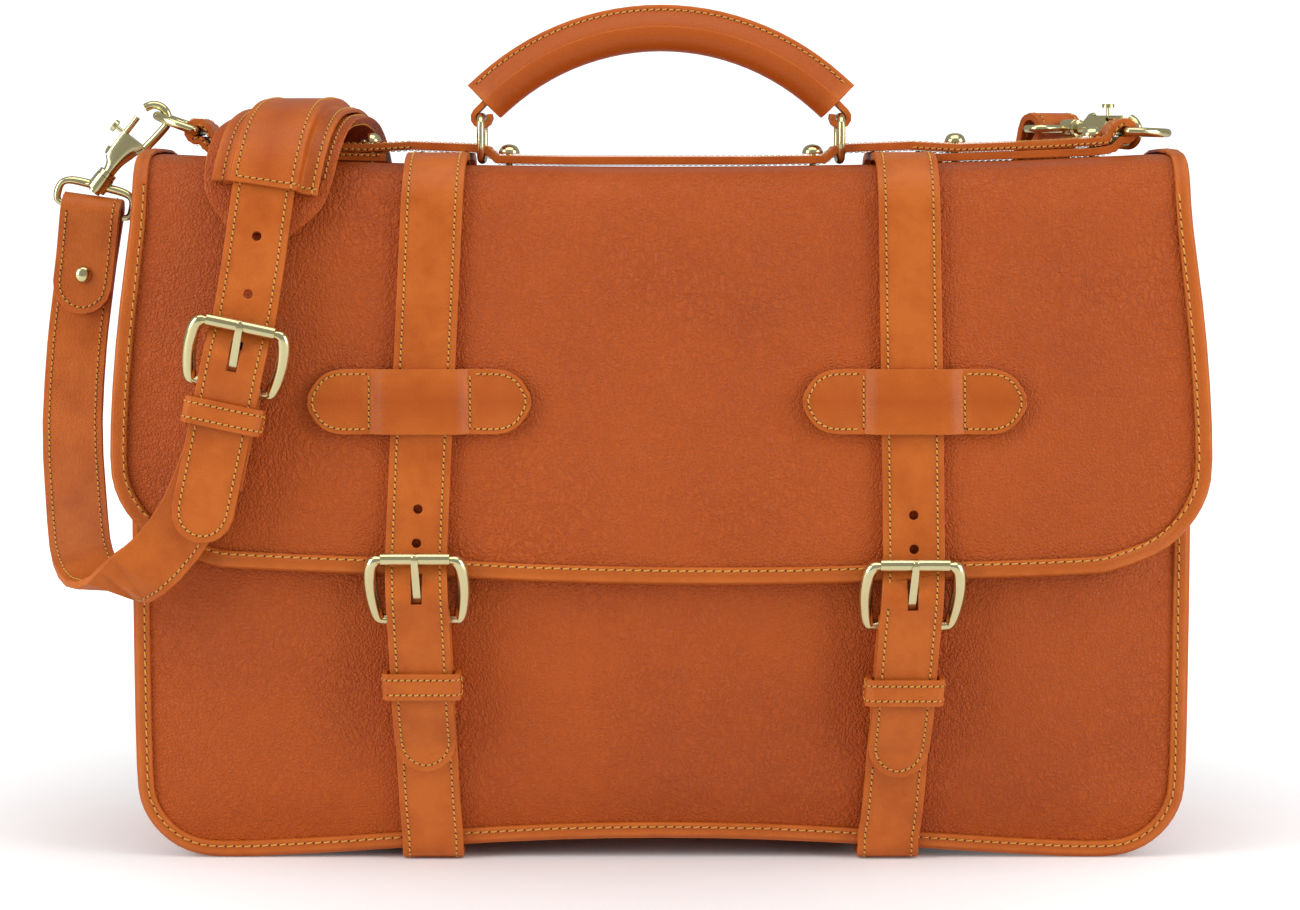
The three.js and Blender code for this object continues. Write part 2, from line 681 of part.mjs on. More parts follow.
// One buckle with its roller, prong and strap loop. place gives the point at a sideways place,
// a height above what the strap lies on and a distance below the roller.
function buckleSet(prefix, place, side, loopDown) {
  const heel = place(0, HEEL_HEIGHT, BUCKLE_SPAN);
  const roller = place(0, ROLLER_HEIGHT, 0);
  const up = roller.clone().sub(heel);
  const length = up.length();
  up.normalize();
  const inward = up.clone().cross(side).normalize();
  const toWorld = new THREE.Matrix4().makeBasis(side, inward, up).setPosition(heel);
  const half = BUCKLE_HALF_WIDTH;
  const outline = [
    { across: -0.8, along: 1, radius: BAR_RADIUS },
    { across: -0.97, along: 0.97, radius: FRAME_RADIUS },
    { across: -1.06, along: 0.82, radius: FRAME_RADIUS },
    { across: -1.07, along: 0.5, radius: FRAME_RADIUS },
    { across: -1.01, along: 0.22, radius: FRAME_RADIUS },
    { across: -0.94, along: 0.03, radius: FRAME_RADIUS },
    { across: -0.86, along: 0, radius: BAR_RADIUS },
  ];
  const rightHalf = outline.map((row) => ({ ...row, across: -row.across })).reverse();
  const all = [...outline, ...rightHalf];
  const points = all.map((row) => vec(row.across * half, 0, row.along * length));
  const frame = wire(points, Y, all.map((row) => row.radius));
  addPiece(`${prefix}_buckle_frame`, frame.applyMatrix4(toWorld), brass);

  const tube = [
    new THREE.Vector2(BAR_RADIUS + GAP, -ROLLER_LENGTH / 2),
    new THREE.Vector2(ROLLER_RADIUS, -ROLLER_LENGTH / 2),
    new THREE.Vector2(ROLLER_RADIUS, ROLLER_LENGTH / 2),
    new THREE.Vector2(BAR_RADIUS + GAP, ROLLER_LENGTH / 2),
    new THREE.Vector2(BAR_RADIUS + GAP, -ROLLER_LENGTH / 2),
  ];
  const rollerTube = new THREE.LatheGeometry(tube, 12).rotateZ(Math.PI / 2).translate(0, 0, length);
  addPiece(`${prefix}_buckle_roller`, rollerTube.applyMatrix4(toWorld), brass);

  const eye = BAR_RADIUS + GAP + PRONG_THICKNESS / 2;
  const front = -(ROLLER_RADIUS + GAP + PRONG_THICKNESS / 2);
  const curl = steps(80, -180, 8).map((a) => {
    const t = THREE.MathUtils.degToRad(a);
    return vec(0, eye * Math.cos(t), eye * Math.sin(t));
  });
  const shank = [
    vec(0, front * 0.9, length * 0.5),
    vec(0, front, length * 0.9),
    vec(0, front, length + 1),
    vec(0, front * 0.8, length + ROLLER_RADIUS + 0.6),
  ];
  const prongFrames = framesAlong([...curl, ...shank], X);
  prongFrames.slice(-2).forEach((f, i) => {
    f.w = i ? 0.5 : 0.85;
    f.h = i ? 0.5 : 1;
  });
  const prong = sweep(prongFrames, rectangle(PRONG_WIDTH, PRONG_THICKNESS));
  addPiece(`${prefix}_buckle_prong`, prong.applyMatrix4(toWorld), brass);

  const inner = STRAP_WIDTH / 2 + 4 * GAP;
  const low = LOOP_LOW;
  const high = IN_LOOP + 1.5 * LAYER + 5 * GAP;
  const outside = [
    [-inner - LOOP_FRONT, low],
    [inner + LOOP_FRONT, low],
    [inner + LOOP_FRONT, high],
    [inner, high + LOOP_FRONT],
    [-inner, high + LOOP_FRONT],
    [-inner - LOOP_FRONT, high],
  ];
  const shape = new THREE.Shape(outside.map(([a, h]) => new THREE.Vector2(a, -h)));
  const whole = new THREE.ExtrudeGeometry(shape, { depth: LOOP_LENGTH, bevelEnabled: false });
  const room = high - low - LOOP_THICKNESS;
  const space = new THREE.BoxGeometry(2 * inner, room, 2 * LOOP_LENGTH);
  space.translate(0, -(low + LOOP_THICKNESS + room / 2), LOOP_LENGTH / 2);
  const band = cut(whole, [space]).translate(0, 0, -LOOP_LENGTH / 2);
  const centre = place(0, 0, loopDown);
  const along = place(0, 0, loopDown - 10).sub(place(0, 0, loopDown + 10)).normalize();
  const bandIn = along.clone().cross(side).normalize();
  band.applyMatrix4(new THREE.Matrix4().makeBasis(side, bandIn, along).setPosition(centre));
  addPiece(`${prefix}_strap_loop`, band, strapLeather);
}

// The folded end round the heel bar, from its hidden tail to the layer that leaves downwards.
function chapePoints(place, loopDown) {
  const heel = place(0, HEEL_HEIGHT, BUCKLE_SPAN);
  const wrap = steps(0, 180, 6).map((a) => {
    const t = THREE.MathUtils.degToRad(a);
    return vec(heel.x, heel.y + WRAP_RADIUS * Math.cos(t), heel.z + WRAP_RADIUS * Math.sin(t));
  });
  const tail = [BUCKLE_SPAN + CHAPE_LENGTH, BUCKLE_SPAN + 0.5 * CHAPE_LENGTH, BUCKLE_SPAN + 3];
  const leave = [
    place(0, lerp(OVER_HEEL, IN_LOOP, 0.35), lerp(BUCKLE_SPAN, loopDown, 0.4)),
    place(0, IN_LOOP, loopDown - 0.35 * LOOP_LENGTH),
    place(0, IN_LOOP + GAP, loopDown + 0.8 * LOOP_LENGTH),
  ];
  return [...tail.map((down) => place(0, ON_BASE, down)), ...wrap, ...leave];
}

// The tip side of a strap, from behind the roller to its rounded end.
function tipPoints(place, loopDown, lastHeight, ease = 0) {
  const inLoop = IN_LOOP + LAYER + GAP;
  return [
    ...TIP_ROWS.map((row, i) => place(0, row.height - ease / (i + 1) ** 2, row.down * BUCKLE_SPAN)),
    place(0, inLoop, loopDown - 0.35 * LOOP_LENGTH),
    place(0, inLoop + GAP, loopDown + 0.8 * LOOP_LENGTH),
    place(0, lerp(inLoop, lastHeight, 0.6), lerp(loopDown, TIP_LENGTH, 0.55)),
    place(0, lastHeight, TIP_LENGTH - STRAP_WIDTH / 2),
    place(0, lastHeight, TIP_LENGTH),
  ];
}

// Places along a curve, so close that the chords between them stay near the curve.
function placesAlong(curve, from, to) {
  const count = Math.ceil((to - from) * curve.getLength());
  const places = steps(from, to, count);
  const points = places.map((t) => curve.getPointAt(t));
  const chosen = [0];
  for (let i = 2; i <= count; i++) {
    const start = chosen[chosen.length - 1];
    const chord = new THREE.Line3(points[start], points[i]);
    const strays = points.slice(start + 1, i).some((p) => (
      chord.closestPointToPoint(p, true, vec(0, 0, 0)).distanceTo(p) > CHORD_TOLERANCE
    ));
    if (strays || i - start > LONGEST_STEP) chosen.push(i - 1);
  }
  return [...chosen, count].map((i) => places[i]);
}

// Stations along points for a strap; an end that is rounded narrows over its last part.
// The side is one vector, or one for each point.
function strapFrames(points, sides, round = {}, width = STRAP_WIDTH) {
  const curve = new THREE.CatmullRomCurve3(points, false, "centripetal");
  curve.arcLengthDivisions = 1200;
  const total = curve.getLength();
  const reach = width / 2;
  const narrow = [0, 0.03, 0.13, 0.3, 0.6];
  const start = round.start ? narrow.map((share) => (share * reach) / total) : [];
  const end = round.end ? narrow.map((share) => 1 - (share * reach) / total).reverse() : [];
  const inside = placesAlong(curve, round.start ? reach / total : 0, round.end ? 1 - reach / total : 1);
  const places = [...start, ...inside, ...end];
  const sideAt = (t) => {
    if (!Array.isArray(sides)) return sides;
    const s = curve.getUtoTmapping(t) * (sides.length - 1);
    const i = Math.min(sides.length - 2, Math.floor(s));
    return sides[i].clone().lerp(sides[i + 1], s - i).normalize();
  };
  return places.map((t) => {
    const along = curve.getTangentAt(t);
    const n = along.clone().cross(sideAt(t)).normalize();
    const room = Math.min(round.start ? t : 1, round.end ? 1 - t : 1) * total;
    const short = Math.max(0, 1 - room / reach);
    const w = Math.max(0.12, Math.sqrt(1 - short ** 2));
    return { p: curve.getPointAt(t), t: along, s: n.clone().cross(along), n, w };
  });
}

const strapSection = rectangle(STRAP_WIDTH, STRAP_THICKNESS);

// Straps that close the case

function caseStrap(row) {
  const middle = (row.top + row.buckle) / 2;
  const xAt = (z) => (z < row.rollerZ
    ? lerp(row.bottom, row.buckle, z / row.rollerZ)
    : lerp(row.buckle, row.top, (z - row.rollerZ) / (FLAP_TOP - row.rollerZ)));
  const place = (a, h, down) => {
    const z = row.rollerZ - down;
    return vec(xAt(z) + a, -faceDepth(middle, z) - h, z);
  };
  const onFront = (z, h) => vec(xAt(z), -faceDepth(middle, z) - h, z);
  const onBack = (z, h) => vec(xAt(z), faceDepth(middle, z) + h, z);
  const weltOut = GAP + LIP + ON_BASE;
  const underZ = archHeight(Math.abs(row.bottom) + STRAP_WIDTH / 2) - ON_BASE;
  const edge = edgeDepth(BODY_CORNER / 3) + GAP;
  const underFront = [
    vec(row.bottom, -edge - weltOut - GAP, underZ + 2.6 * STRAP_THICKNESS),
    vec(row.bottom, -edge - weltOut - GAP, underZ + STRAP_THICKNESS),
    vec(row.bottom, -edge - 0.5 * weltOut, underZ + 0.1 * STRAP_THICKNESS),
    vec(row.bottom, -edge + 2 * weltOut, underZ),
  ];
  const underBack = underFront.map((p) => vec(p.x, -p.y, p.z)).reverse();
  const backEnd = FLAP_THICKNESS + GAP + ON_BASE;
  const u = middle / FLAP_HALF_WIDTH;
  const outFlap = FLAP_THICKNESS / 2 + ON_BASE + GAP;
  const over = [4.6, 4, 3.67, 3.33, 3, 2.5, 2, 1.67, 1.33, 1].map((run) => {
    const p = onFlap(u, run, outFlap + (run >= 2 && run <= 4 ? 2 * GAP : 0));
    return vec(xAt(p.z), p.y, p.z);
  });
  const frontHeight = FLAP_STAND + outFlap;
  const points = [
    ...chapePoints(place, CASE_LOOP_DOWN),
    place(0, lerp(IN_LOOP, ON_BASE, 0.7), BUCKLE_SPAN + CHAPE_LENGTH + 6),
    place(0, ON_BASE, BUCKLE_SPAN + CHAPE_LENGTH + 16),
    onFront(0.11 * CASE_HEIGHT, ON_BASE + 0.7),
    onFront(0.07 * CASE_HEIGHT, ON_BASE + 0.9),
    ...underFront,
    ...underBack,
    onBack(0.07 * CASE_HEIGHT, ON_BASE + 0.9),
    onBack(0.11 * CASE_HEIGHT, ON_BASE + 0.7),
    onBack(0.17 * CASE_HEIGHT, ON_BASE + 0.5),
    ...steps(0.25, 0.8, 3).map((share) => onBack(share * CASE_HEIGHT, ON_BASE + 3 * GAP)),
    onBack(FLAP_BACK_END - 10, ON_BASE + 0.9),
    onBack(FLAP_BACK_END - 3, backEnd + 0.7),
    ...over,
    ...steps(0.9, 0.2, 4).map((share) => onFront(lerp(FLAP_BOTTOM, FLAP_BREAK, share), frontHeight + GAP * share)),
    ...tipPoints(place, CASE_LOOP_DOWN, ON_BASE + LAYER),
  ];
  const frames = strapFrames(points, X.clone().negate(), { end: true });
  const holes = CASE_SPARE_HOLES.map((above) => {
    const z = row.rollerZ + above;
    return rod(vec(xAt(z), -EDGE_HALF_DEPTH, z), vec(xAt(z), -EDGE_HALF_DEPTH - 40, z), HOLE_RADIUS, 10);
  });
  holes.push(...prongCuts(place, Z));
  buckleSet(row.side, place, X, CASE_LOOP_DOWN);
  addPiece(`${row.side}_case_strap`, cut(sweep(frames, strapSection), holes), strapLeather);
}

// The long hole for the prong in the tip's side and the slot in the fold round the heel bar.
function prongCuts(place, up) {
  const box = (low, high, from, to) => {
    const middle = place(0, (low + high) / 2, (from + to) / 2);
    const geometry = new THREE.BoxGeometry(SLOT_WIDTH, high - low, Math.abs(to - from));
    geometry.applyQuaternion(new THREE.Quaternion().setFromUnitVectors(Z, up));
    return geometry.translate(middle.x, middle.y, middle.z);
  };
  const clear = PRONG_THICKNESS + BAR_RADIUS + 3 * GAP;
  return [
    box(OVER_HEEL, ROLLER_HEIGHT + 8, PRONG_HOLE_DOWN - 4.5, PRONG_HOLE_DOWN + 8),
    box(-1, OVER_HEEL + STRAP_THICKNESS / 2 + 0.2, BUCKLE_SPAN - WRAP_RADIUS - 4, BUCKLE_SPAN + clear),
  ];
}

// A sewn strap across the flap that arches over a case strap.
function flapKeeper(row) {
  const low = FLAP_STAND + FLAP_THICKNESS / 2 + 2.5 * GAP + KEEPER_THICKNESS / 2;
  const half = KEEPER_LENGTH / 2;
  const end = KEEPER_HEIGHT / 2;
  const ends = [1, 0.97, 0.7, 0.35].map((share) => half - end * (1 - share));
  const arch = KEEPER_ARCH / 2;
  const offsets = [...ends, half - end, 0.8 * half - 8, arch, arch - 4.5, arch - 8, 0];
  const all = [...offsets.map((a) => -a), ...offsets.slice(0, -1).reverse()];
  const spot = (a, z) => {
    const lifted = smooth((arch - Math.abs(a)) / 5);
    const x = row.keeper + a;
    const base = lerp(faceDepth(x, z), faceDepth((row.top + row.buckle) / 2, z), lifted);
    return vec(x, -base - low - lifted * LAYER, z);
  };
  const sides = all.map((a) => spot(a, KEEPER_Z + end).sub(spot(a, KEEPER_Z - end)));
  const middles = all.map((a) => spot(a, KEEPER_Z + end).add(spot(a, KEEPER_Z - end)).multiplyScalar(0.5));
  const frames = framesAlong(middles, sides);
  frames.forEach((frame, i) => {
    const short = Math.max(0, (Math.abs(all[i]) - (half - end)) / end);
    frame.w = Math.max(0.12, Math.sqrt(Math.max(0, 1 - short ** 2)));
  });
  const geometry = sweep(frames, rectangle(KEEPER_HEIGHT, KEEPER_THICKNESS));
  addPiece(`${row.side}_flap_keeper`, geometry, strapLeather);
}

// Top strap, folded round a D-ring's bar at each end and laid back under itself

const TOP_LAYER = TOP_STRAP_THICKNESS + GAP;
const TOP_LOW = FLAP_THICKNESS / 2 + GAP + TOP_STRAP_THICKNESS / 2;
const RING_BAR_OUT = FLAP_THICKNESS / 2 + GAP + RING_WIRE;
const D_WRAP = D_WIRE + GAP + TOP_STRAP_THICKNESS / 2;

function topStrap() {
  const over = FLAP_TOP + TOP_LOW;
  const overRing = (x) => flapTop(x) + RING_BAR_OUT + RING_WIRE + 4 * GAP + TOP_STRAP_THICKNESS / 2;
  const upper = (x) => flapTop(x) + TOP_LOW + TOP_LAYER;
  const half = TOP_STRAP_HALF_LENGTH;
  const rightHalf = [
    { x: 0, z: over + 0.7 },
    { x: 0.2 * half, z: over + 0.6 },
    { x: STUD_X[3] + STUD_RADIUS, z: flapTop(STUD_X[3]) + TOP_LOW + 0.6 },
    { x: RING_X - RING_WIRE - 0.6, z: overRing(RING_X) },
    { x: RING_X + 4, z: overRing(RING_X) + 0.8 },
    { x: RING_X + 30, z: overRing(RING_X) + 1.8 },
    { x: STUD_X[4], z: upper(STUD_X[4]) + 0.2 },
    { x: 0.82 * half, z: upper(0.82 * half) + 0.2 },
    { x: half - 7.5, z: upper(half) + 0.4 },
    { x: half - 4.5, z: D_BAR_Z + 0.37 * D_WRAP },
  ];
  const wrap = steps(110, -110, 7).map((a) => {
    const t = THREE.MathUtils.degToRad(a);
    return { x: half + D_WRAP * Math.cos(t), z: D_BAR_Z + D_WRAP * Math.sin(t) };
  });
  const low = (x) => flapTop(x) + TOP_LOW;
  const under = [
    { x: half - 4.5, z: low(half) + 1.2 },
    { x: half - 7.5, z: low(half) + 0.3 },
    { x: half - 14, z: low(half - 14) + 0.1 },
    { x: half - 24, z: low(half - 24) + 0.1 },
    { x: 0.75 * half, z: low(0.75 * half) + 0.1 },
    { x: LOWER_LAYER_END, z: low(LOWER_LAYER_END) + 0.1 },
  ];
  const rows = [...rightHalf, ...wrap, ...under];
  const left = rows.slice(1).reverse().map(({ x, z }) => vec(-x, 0, z));
  const right = rows.map(({ x, z }) => vec(x, 0, z));
  const frames = framesAlong([...left, ...right], Y);
  const strip = sweep(frames, rectangle(STRAP_WIDTH, TOP_STRAP_THICKNESS));
  const holes = STUD_X.map((x) => rod(vec(x, 0, FLAP_BREAK), vec(x, 0, FLAP_TOP + 30), STUD_SHANK + GAP, 6));
  addPiece("top_strap", cut(strip, holes), strapLeather);
  return (x) => {
    const i = rightHalf.findIndex((row) => row.x >= Math.abs(x));
    const [a, b] = [rightHalf[i - 1], rightHalf[i]];
    return lerp(a.z, b.z, (Math.abs(x) - a.x) / (b.x - a.x));
  };
}

function stud(index, x, strapZ) {
  const seat = strapZ + TOP_STRAP_THICKNESS / 2 + 3 * GAP;
  const bottom = flapTop(x) - FLAP_THICKNESS / 2 - GAP;
  const washer = 1.2;
  const dome = steps(0, 90, 2).map((a) => {
    const t = THREE.MathUtils.degToRad(a);
    return new THREE.Vector2(Math.max(0, STUD_RADIUS * Math.cos(t)), seat + 1 + (STUD_HEIGHT - 1) * Math.sin(t));
  });
  dome[dome.length - 1].x = 0;
  const profile = [
    new THREE.Vector2(0, bottom - washer),
    new THREE.Vector2(0.8 * STUD_RADIUS, bottom - washer),
    new THREE.Vector2(0.8 * STUD_RADIUS, bottom),
    new THREE.Vector2(STUD_SHANK, bottom),
    new THREE.Vector2(STUD_SHANK, seat),
    new THREE.Vector2(STUD_RADIUS, seat),
    ...dome,
  ];
  const geometry = new THREE.LatheGeometry(profile, 8).rotateX(Math.PI / 2).translate(x, 0, 0);
  addPiece(`stud_${index + 1}`, geometry, brass);
}

// Rings that carry the handle, round the top strap
function handleRing(side) {
  const x = side * RING_X;
  const low = flapTop(x) + RING_BAR_OUT;
  const half = RING_HALF_WIDTH;
  const round = 5;
  const corners = [
    [half - round, low + round, -90, 0],
    [half - round, RING_TOP - round, 0, 90],
    [-half + round, RING_TOP - round, 90, 180],
    [-half + round, low + round, 180, 270],
  ];
  const points = corners.flatMap(([y, z, from, to]) => steps(from, to, 2).map((a) => {
    const t = THREE.MathUtils.degToRad(a);
    return vec(x, y + round * Math.cos(t), z + round * Math.sin(t));
  }));
  addPiece(`${side < 0 ? "left" : "right"}_handle_ring`, wire(points, X, RING_WIRE), brass);
}

// A D-ring with its straight bar in the fold of the top strap
function dRing(side, tilt) {
  const bow = steps(-90, 90, 10).map((a) => {
    const t = THREE.MathUtils.degToRad(a);
    return vec(4 + (D_DEPTH - 4) * Math.cos(t), D_HALF_WIDTH * Math.sin(t), 0);
  });
  const points = [vec(0, -D_HALF_WIDTH + 2.5, 0), vec(1, -D_HALF_WIDTH + 0.5, 0), ...bow];
  points.push(vec(1, D_HALF_WIDTH - 0.5, 0), vec(0, D_HALF_WIDTH - 2.5, 0));
  const geometry = wire(points, Z, D_WIRE);
  geometry.rotateY(-tilt);
  if (side < 0) geometry.rotateZ(Math.PI);
  geometry.translate(side * TOP_STRAP_HALF_LENGTH, 0, D_BAR_Z);
  addPiece(`${side < 0 ? "left" : "right"}_d_ring`, geometry, brass);
}

// Handle

const HANDLE_CENTRE = HANDLE_CREST - HANDLE_RADIUS;

function handlePoint(angle) {
  return vec(HANDLE_RADIUS * Math.sin(angle), 0, HANDLE_CENTRE + HANDLE_RADIUS * Math.cos(angle));
}

function handleFrames(halfAngle, count) {
  return steps(-halfAngle, halfAngle, count).map((angle) => ({
    p: handlePoint(angle),
    s: Y,
    n: vec(Math.sin(angle), 0, Math.cos(angle)),
  }));
}

function handle() {
  const shoulder = 0.55 * GRIP_RADIUS;
  const below = steps(135, 405, 7).map((a) => {
    const t = THREE.MathUtils.degToRad(a);
    return [GRIP_RADIUS * Math.cos(t), GRIP_RADIUS * Math.sin(t) - 1.5];
  });
  const section = [
    ...below,
    [GRIP_RIDGE_HALF + 0.6, shoulder + 2.2],
    [GRIP_RIDGE_HALF, GRIP_RIDGE],
    [-GRIP_RIDGE_HALF, GRIP_RIDGE],
    [-GRIP_RIDGE_HALF - 0.6, shoulder + 2.2],
  ];
  const channel = rectangle(CORE_WIDTH + 2 * GAP, CORE_THICKNESS + 2 * GAP);
  const cover = cut(sweep(handleFrames(GRIP_HALF_ANGLE, 14), section), [
    sweep(handleFrames(GRIP_HALF_ANGLE * (16 / 14), 16), channel),
  ]);
  addPiece("handle_grip", cover, strapLeather);

  const lead = 5.4;
  const loopSide = (side) => {
    const angle = side * GRIP_HALF_ANGLE;
    const out = vec(Math.sin(angle), 0, Math.cos(angle));
    const down = vec(side * Math.cos(angle), 0, -Math.abs(Math.sin(angle)));
    const touch = handlePoint(angle).addScaledVector(down, lead);
    const centre = touch.clone().addScaledVector(out, -CORE_LOOP_RADIUS);
    return steps(0, 250, 8).map((a) => {
      const t = THREE.MathUtils.degToRad(a);
      const p = centre.clone().addScaledVector(out, CORE_LOOP_RADIUS * Math.cos(t));
      return p.addScaledVector(down, CORE_LOOP_RADIUS * Math.sin(t));
    });
  };
  const arc = steps(-GRIP_HALF_ANGLE, GRIP_HALF_ANGLE, 14).map(handlePoint);
  const points = [...loopSide(-1).reverse(), ...arc, ...loopSide(1)];
  const core = sweep(framesAlong(points, Y), rectangle(CORE_WIDTH, CORE_THICKNESS));
  addPiece("handle_core", core, strapLeather);
}

// Snap hooks, drawn with their shaft along +Z from the collar at z = 0 and their ring above

const HOOK_RING_AT = vec(1.6, 0, 32.2);
const BOLT_X = -4.4;
const BODY_TOP = 20;
const EYE_BAR_DOWN = 17;
const EYE_TOP_DOWN = 5.5;

function hookBody() {
  const rows = [
    { z: -0.2, left: 4.4, right: 4.4, depth: 4.4 },
    { z: 1.8, left: 4.4, right: 4.4, depth: 4.4 },
    { z: 2, left: HOOK_SHAFT, right: HOOK_SHAFT, depth: HOOK_SHAFT },
    { z: 5, left: HOOK_SHAFT + 0.6, right: HOOK_SHAFT, depth: HOOK_SHAFT },
    { z: 8, left: 7, right: 3.4, depth: 3.2 },
    { z: 15, left: 7.2, right: 5, depth: 3.2 },
    { z: BODY_TOP, left: 7, right: 9, depth: 2.9 },
  ];
  const unit = circle(1, 8);
  const rings = rows.map(({ z, left, right, depth }) =>
    unit.map(([a, b]) => vec(a < 0 ? a * left : a * right, b * depth, z)),
  );
  const barrel = loft(rings, unit);
  const ringAngles = steps(-72, 168, 9);
  const arm = ringAngles.map((a) => {
    const t = THREE.MathUtils.degToRad(a);
    return vec(HOOK_RING_AT.x + HOOK_RING * Math.cos(t), 0, HOOK_RING_AT.z + HOOK_RING * Math.sin(t));
  });
  arm.unshift(vec(5.6, 0, BODY_TOP - 4), vec(6.3, 0, BODY_TOP + 1));
  arm.splice(2, 2, vec(7, 0, HOOK_RING_AT.z - 6.4));
  const hook = wire(arm, Y, HOOK_WIRE, false);
  const stem = rod(vec(0, 0, -EYE_TOP_DOWN - 2.2), vec(0, 0, 0.5), 1.5);
  const head = rod(vec(0, 0, -EYE_TOP_DOWN - 3.4), vec(0, 0, -EYE_TOP_DOWN - 2), 2.8);
  const whole = join([barrel, hook, stem, head]);
  const bore = rod(vec(BOLT_X, 0, 14 - HOOK_TRAVEL - 1), vec(BOLT_X, 0, BODY_TOP + 4), BOLT_RADIUS + GAP);
  const slot = new THREE.BoxGeometry(6, 3, HOOK_TRAVEL + 7).translate(BOLT_X - 3, 0, BODY_TOP - 2.4);
  return cut(whole, [bore, slot]);
}

function hookBolt() {
  const top = HOOK_RING_AT.z - 3.9;
  const shaft = rod(vec(BOLT_X, 0, 14), vec(BOLT_X, 0, top), BOLT_RADIUS, 10);
  const neckZ = BODY_TOP - 0.6;
  const neck = rod(vec(BOLT_X, 0, neckZ), vec(-9.2, 0, neckZ), 1.1, 8);
  const knob = rod(vec(-9, 0, neckZ), vec(-10.8, 0, neckZ), 3, 10);
  return join([shaft, neck, knob]);
}

function hookEye(lean) {
  const base = rod(vec(0, 0, -EYE_TOP_DOWN - 1.8), vec(0, 0, -0.5), 4.2);
  const half = EYE_HALF_WIDTH;
  const z0 = -EYE_TOP_DOWN;
  const z1 = -EYE_BAR_DOWN;
  const loop = [
    vec(-half + 3, 0, z0), vec(-half, 0, z0 - 3), vec(-half, 0, z1 + 2), vec(-half + 2, 0, z1),
    vec(half - 2, 0, z1), vec(half, 0, z1 + 2), vec(half, 0, z0 - 3), vec(half - 3, 0, z0),
  ];
  const square = wire(loop, Y, EYE_WIRE).translate(0, 0, -z0).rotateY(lean).translate(0, 0, z0);
  const whole = join([base, square]);
  const bore = rod(vec(0, 0, -EYE_TOP_DOWN - 2.5), vec(0, 0, 1), 1.5 + GAP);
  const headRoom = rod(vec(0, 0, -EYE_TOP_DOWN - 6), vec(0, 0, -EYE_TOP_DOWN - 1.7), 2.8 + GAP);
  return cut(whole, [bore, headRoom]);
}

// A snap hook whose ring is centred at a point, with its eye turned and leaned. It returns the eye's bar.
function snapHook(side, up, across, ringAt, eyeSide, lean) {
  const frame = (right) => new THREE.Matrix4().makeBasis(right, up.clone().cross(right), up);
  const hook = frame(across);
  const origin = ringAt.clone().sub(HOOK_RING_AT.clone().applyMatrix4(hook));
  const eye = frame(eyeSide).setPosition(origin);
  hook.setPosition(origin);
  addPiece(`${side}_hook_body`, hookBody().applyMatrix4(hook), brass);
  addPiece(`${side}_hook_bolt`, hookBolt().applyMatrix4(hook), brass);
  addPiece(`${side}_hook_eye`, hookEye(lean).applyMatrix4(eye), brass);
  const drop = EYE_BAR_DOWN - EYE_TOP_DOWN;
  return vec(-drop * Math.sin(lean), 0, -EYE_TOP_DOWN - drop * Math.cos(lean)).applyMatrix4(eye);
}

// The shoulder strap

const SHOULDER_DOWN = vec(-Math.sin(SHOULDER_TILT), -SHOULDER_SLOPE, -Math.cos(SHOULDER_TILT)).normalize();
const SHOULDER_SIDE = vec(Math.cos(SHOULDER_TILT), 0, -Math.sin(SHOULDER_TILT));

function shoulderPlace(a, h, down) {
  return SHOULDER_ROLLER.clone()
    .addScaledVector(SHOULDER_SIDE, a)
    .addScaledVector(SHOULDER_DOWN, down)
    .add(vec(0, -h, 0));
}

// The loose fold of a strap's end round the bar of an eye, with a tail that lies against the strap.
// outward points from the strap to its tail, and away from the bar along the strap.
function foldedEnd(bar, outward, away, tail) {
  const at = (out, down) => bar.clone().addScaledVector(outward, out).addScaledVector(away, down);
  const wrap = steps(-10, 190, 7).map((a) => {
    const t = THREE.MathUtils.degToRad(a);
    return at(FOLD_RADIUS * Math.cos(t), -FOLD_RADIUS * Math.sin(t));
  });
  const pressed = LAYER / 2;
  return [
    at(pressed, tail),
    at(pressed, 0.7 * tail),
    at(pressed, RIVET_DOWN - 3),
    at(pressed, RIVET_DOWN - 6),
    ...wrap,
    at(-pressed, RIVET_DOWN - 6),
    at(-pressed, RIVET_DOWN - 3),
    at(-pressed, tail),
    at(-pressed, tail + 7),
  ];
}

function rivet(name, at, axis) {
  const half = LAYER / 2 + STRAP_THICKNESS / 2 + 2 * GAP;
  const profile = [
    [0, -half - 1], [3.4, -half - 1], [3.4, -half], [STUD_SHANK, -half],
    [STUD_SHANK, half], [3.6, half], [3, half + 0.9], [1.5, half + 1.4], [0, half + 1.5],
  ].map(([x, y]) => new THREE.Vector2(x, y));
  const geometry = new THREE.LatheGeometry(profile, 10);
  geometry.applyQuaternion(new THREE.Quaternion().setFromUnitVectors(Y, axis));
  addPiece(name, geometry.translate(at.x, at.y, at.z), brass);
}

// The route of the short side from the eye to the loop under the buckle.
const SHORT_ROUTE = [
  { x: -252, y: -3, z: 203 },
  { x: -251.5, y: -15, z: 176 },
  { x: -247.5, y: -31, z: 149 },
  { x: -242, y: -50, z: 128 },
  { x: -234, y: -65, z: 119.5 },
  { x: -224, y: -74, z: 118.5 },
  { x: -213.5, y: -78, z: 123.5 },
  { x: -203, y: -78.4, z: 133 },
  { x: -192.5, y: -78, z: 148 },
  { x: -184.6, y: -77.8, z: 166 },
];

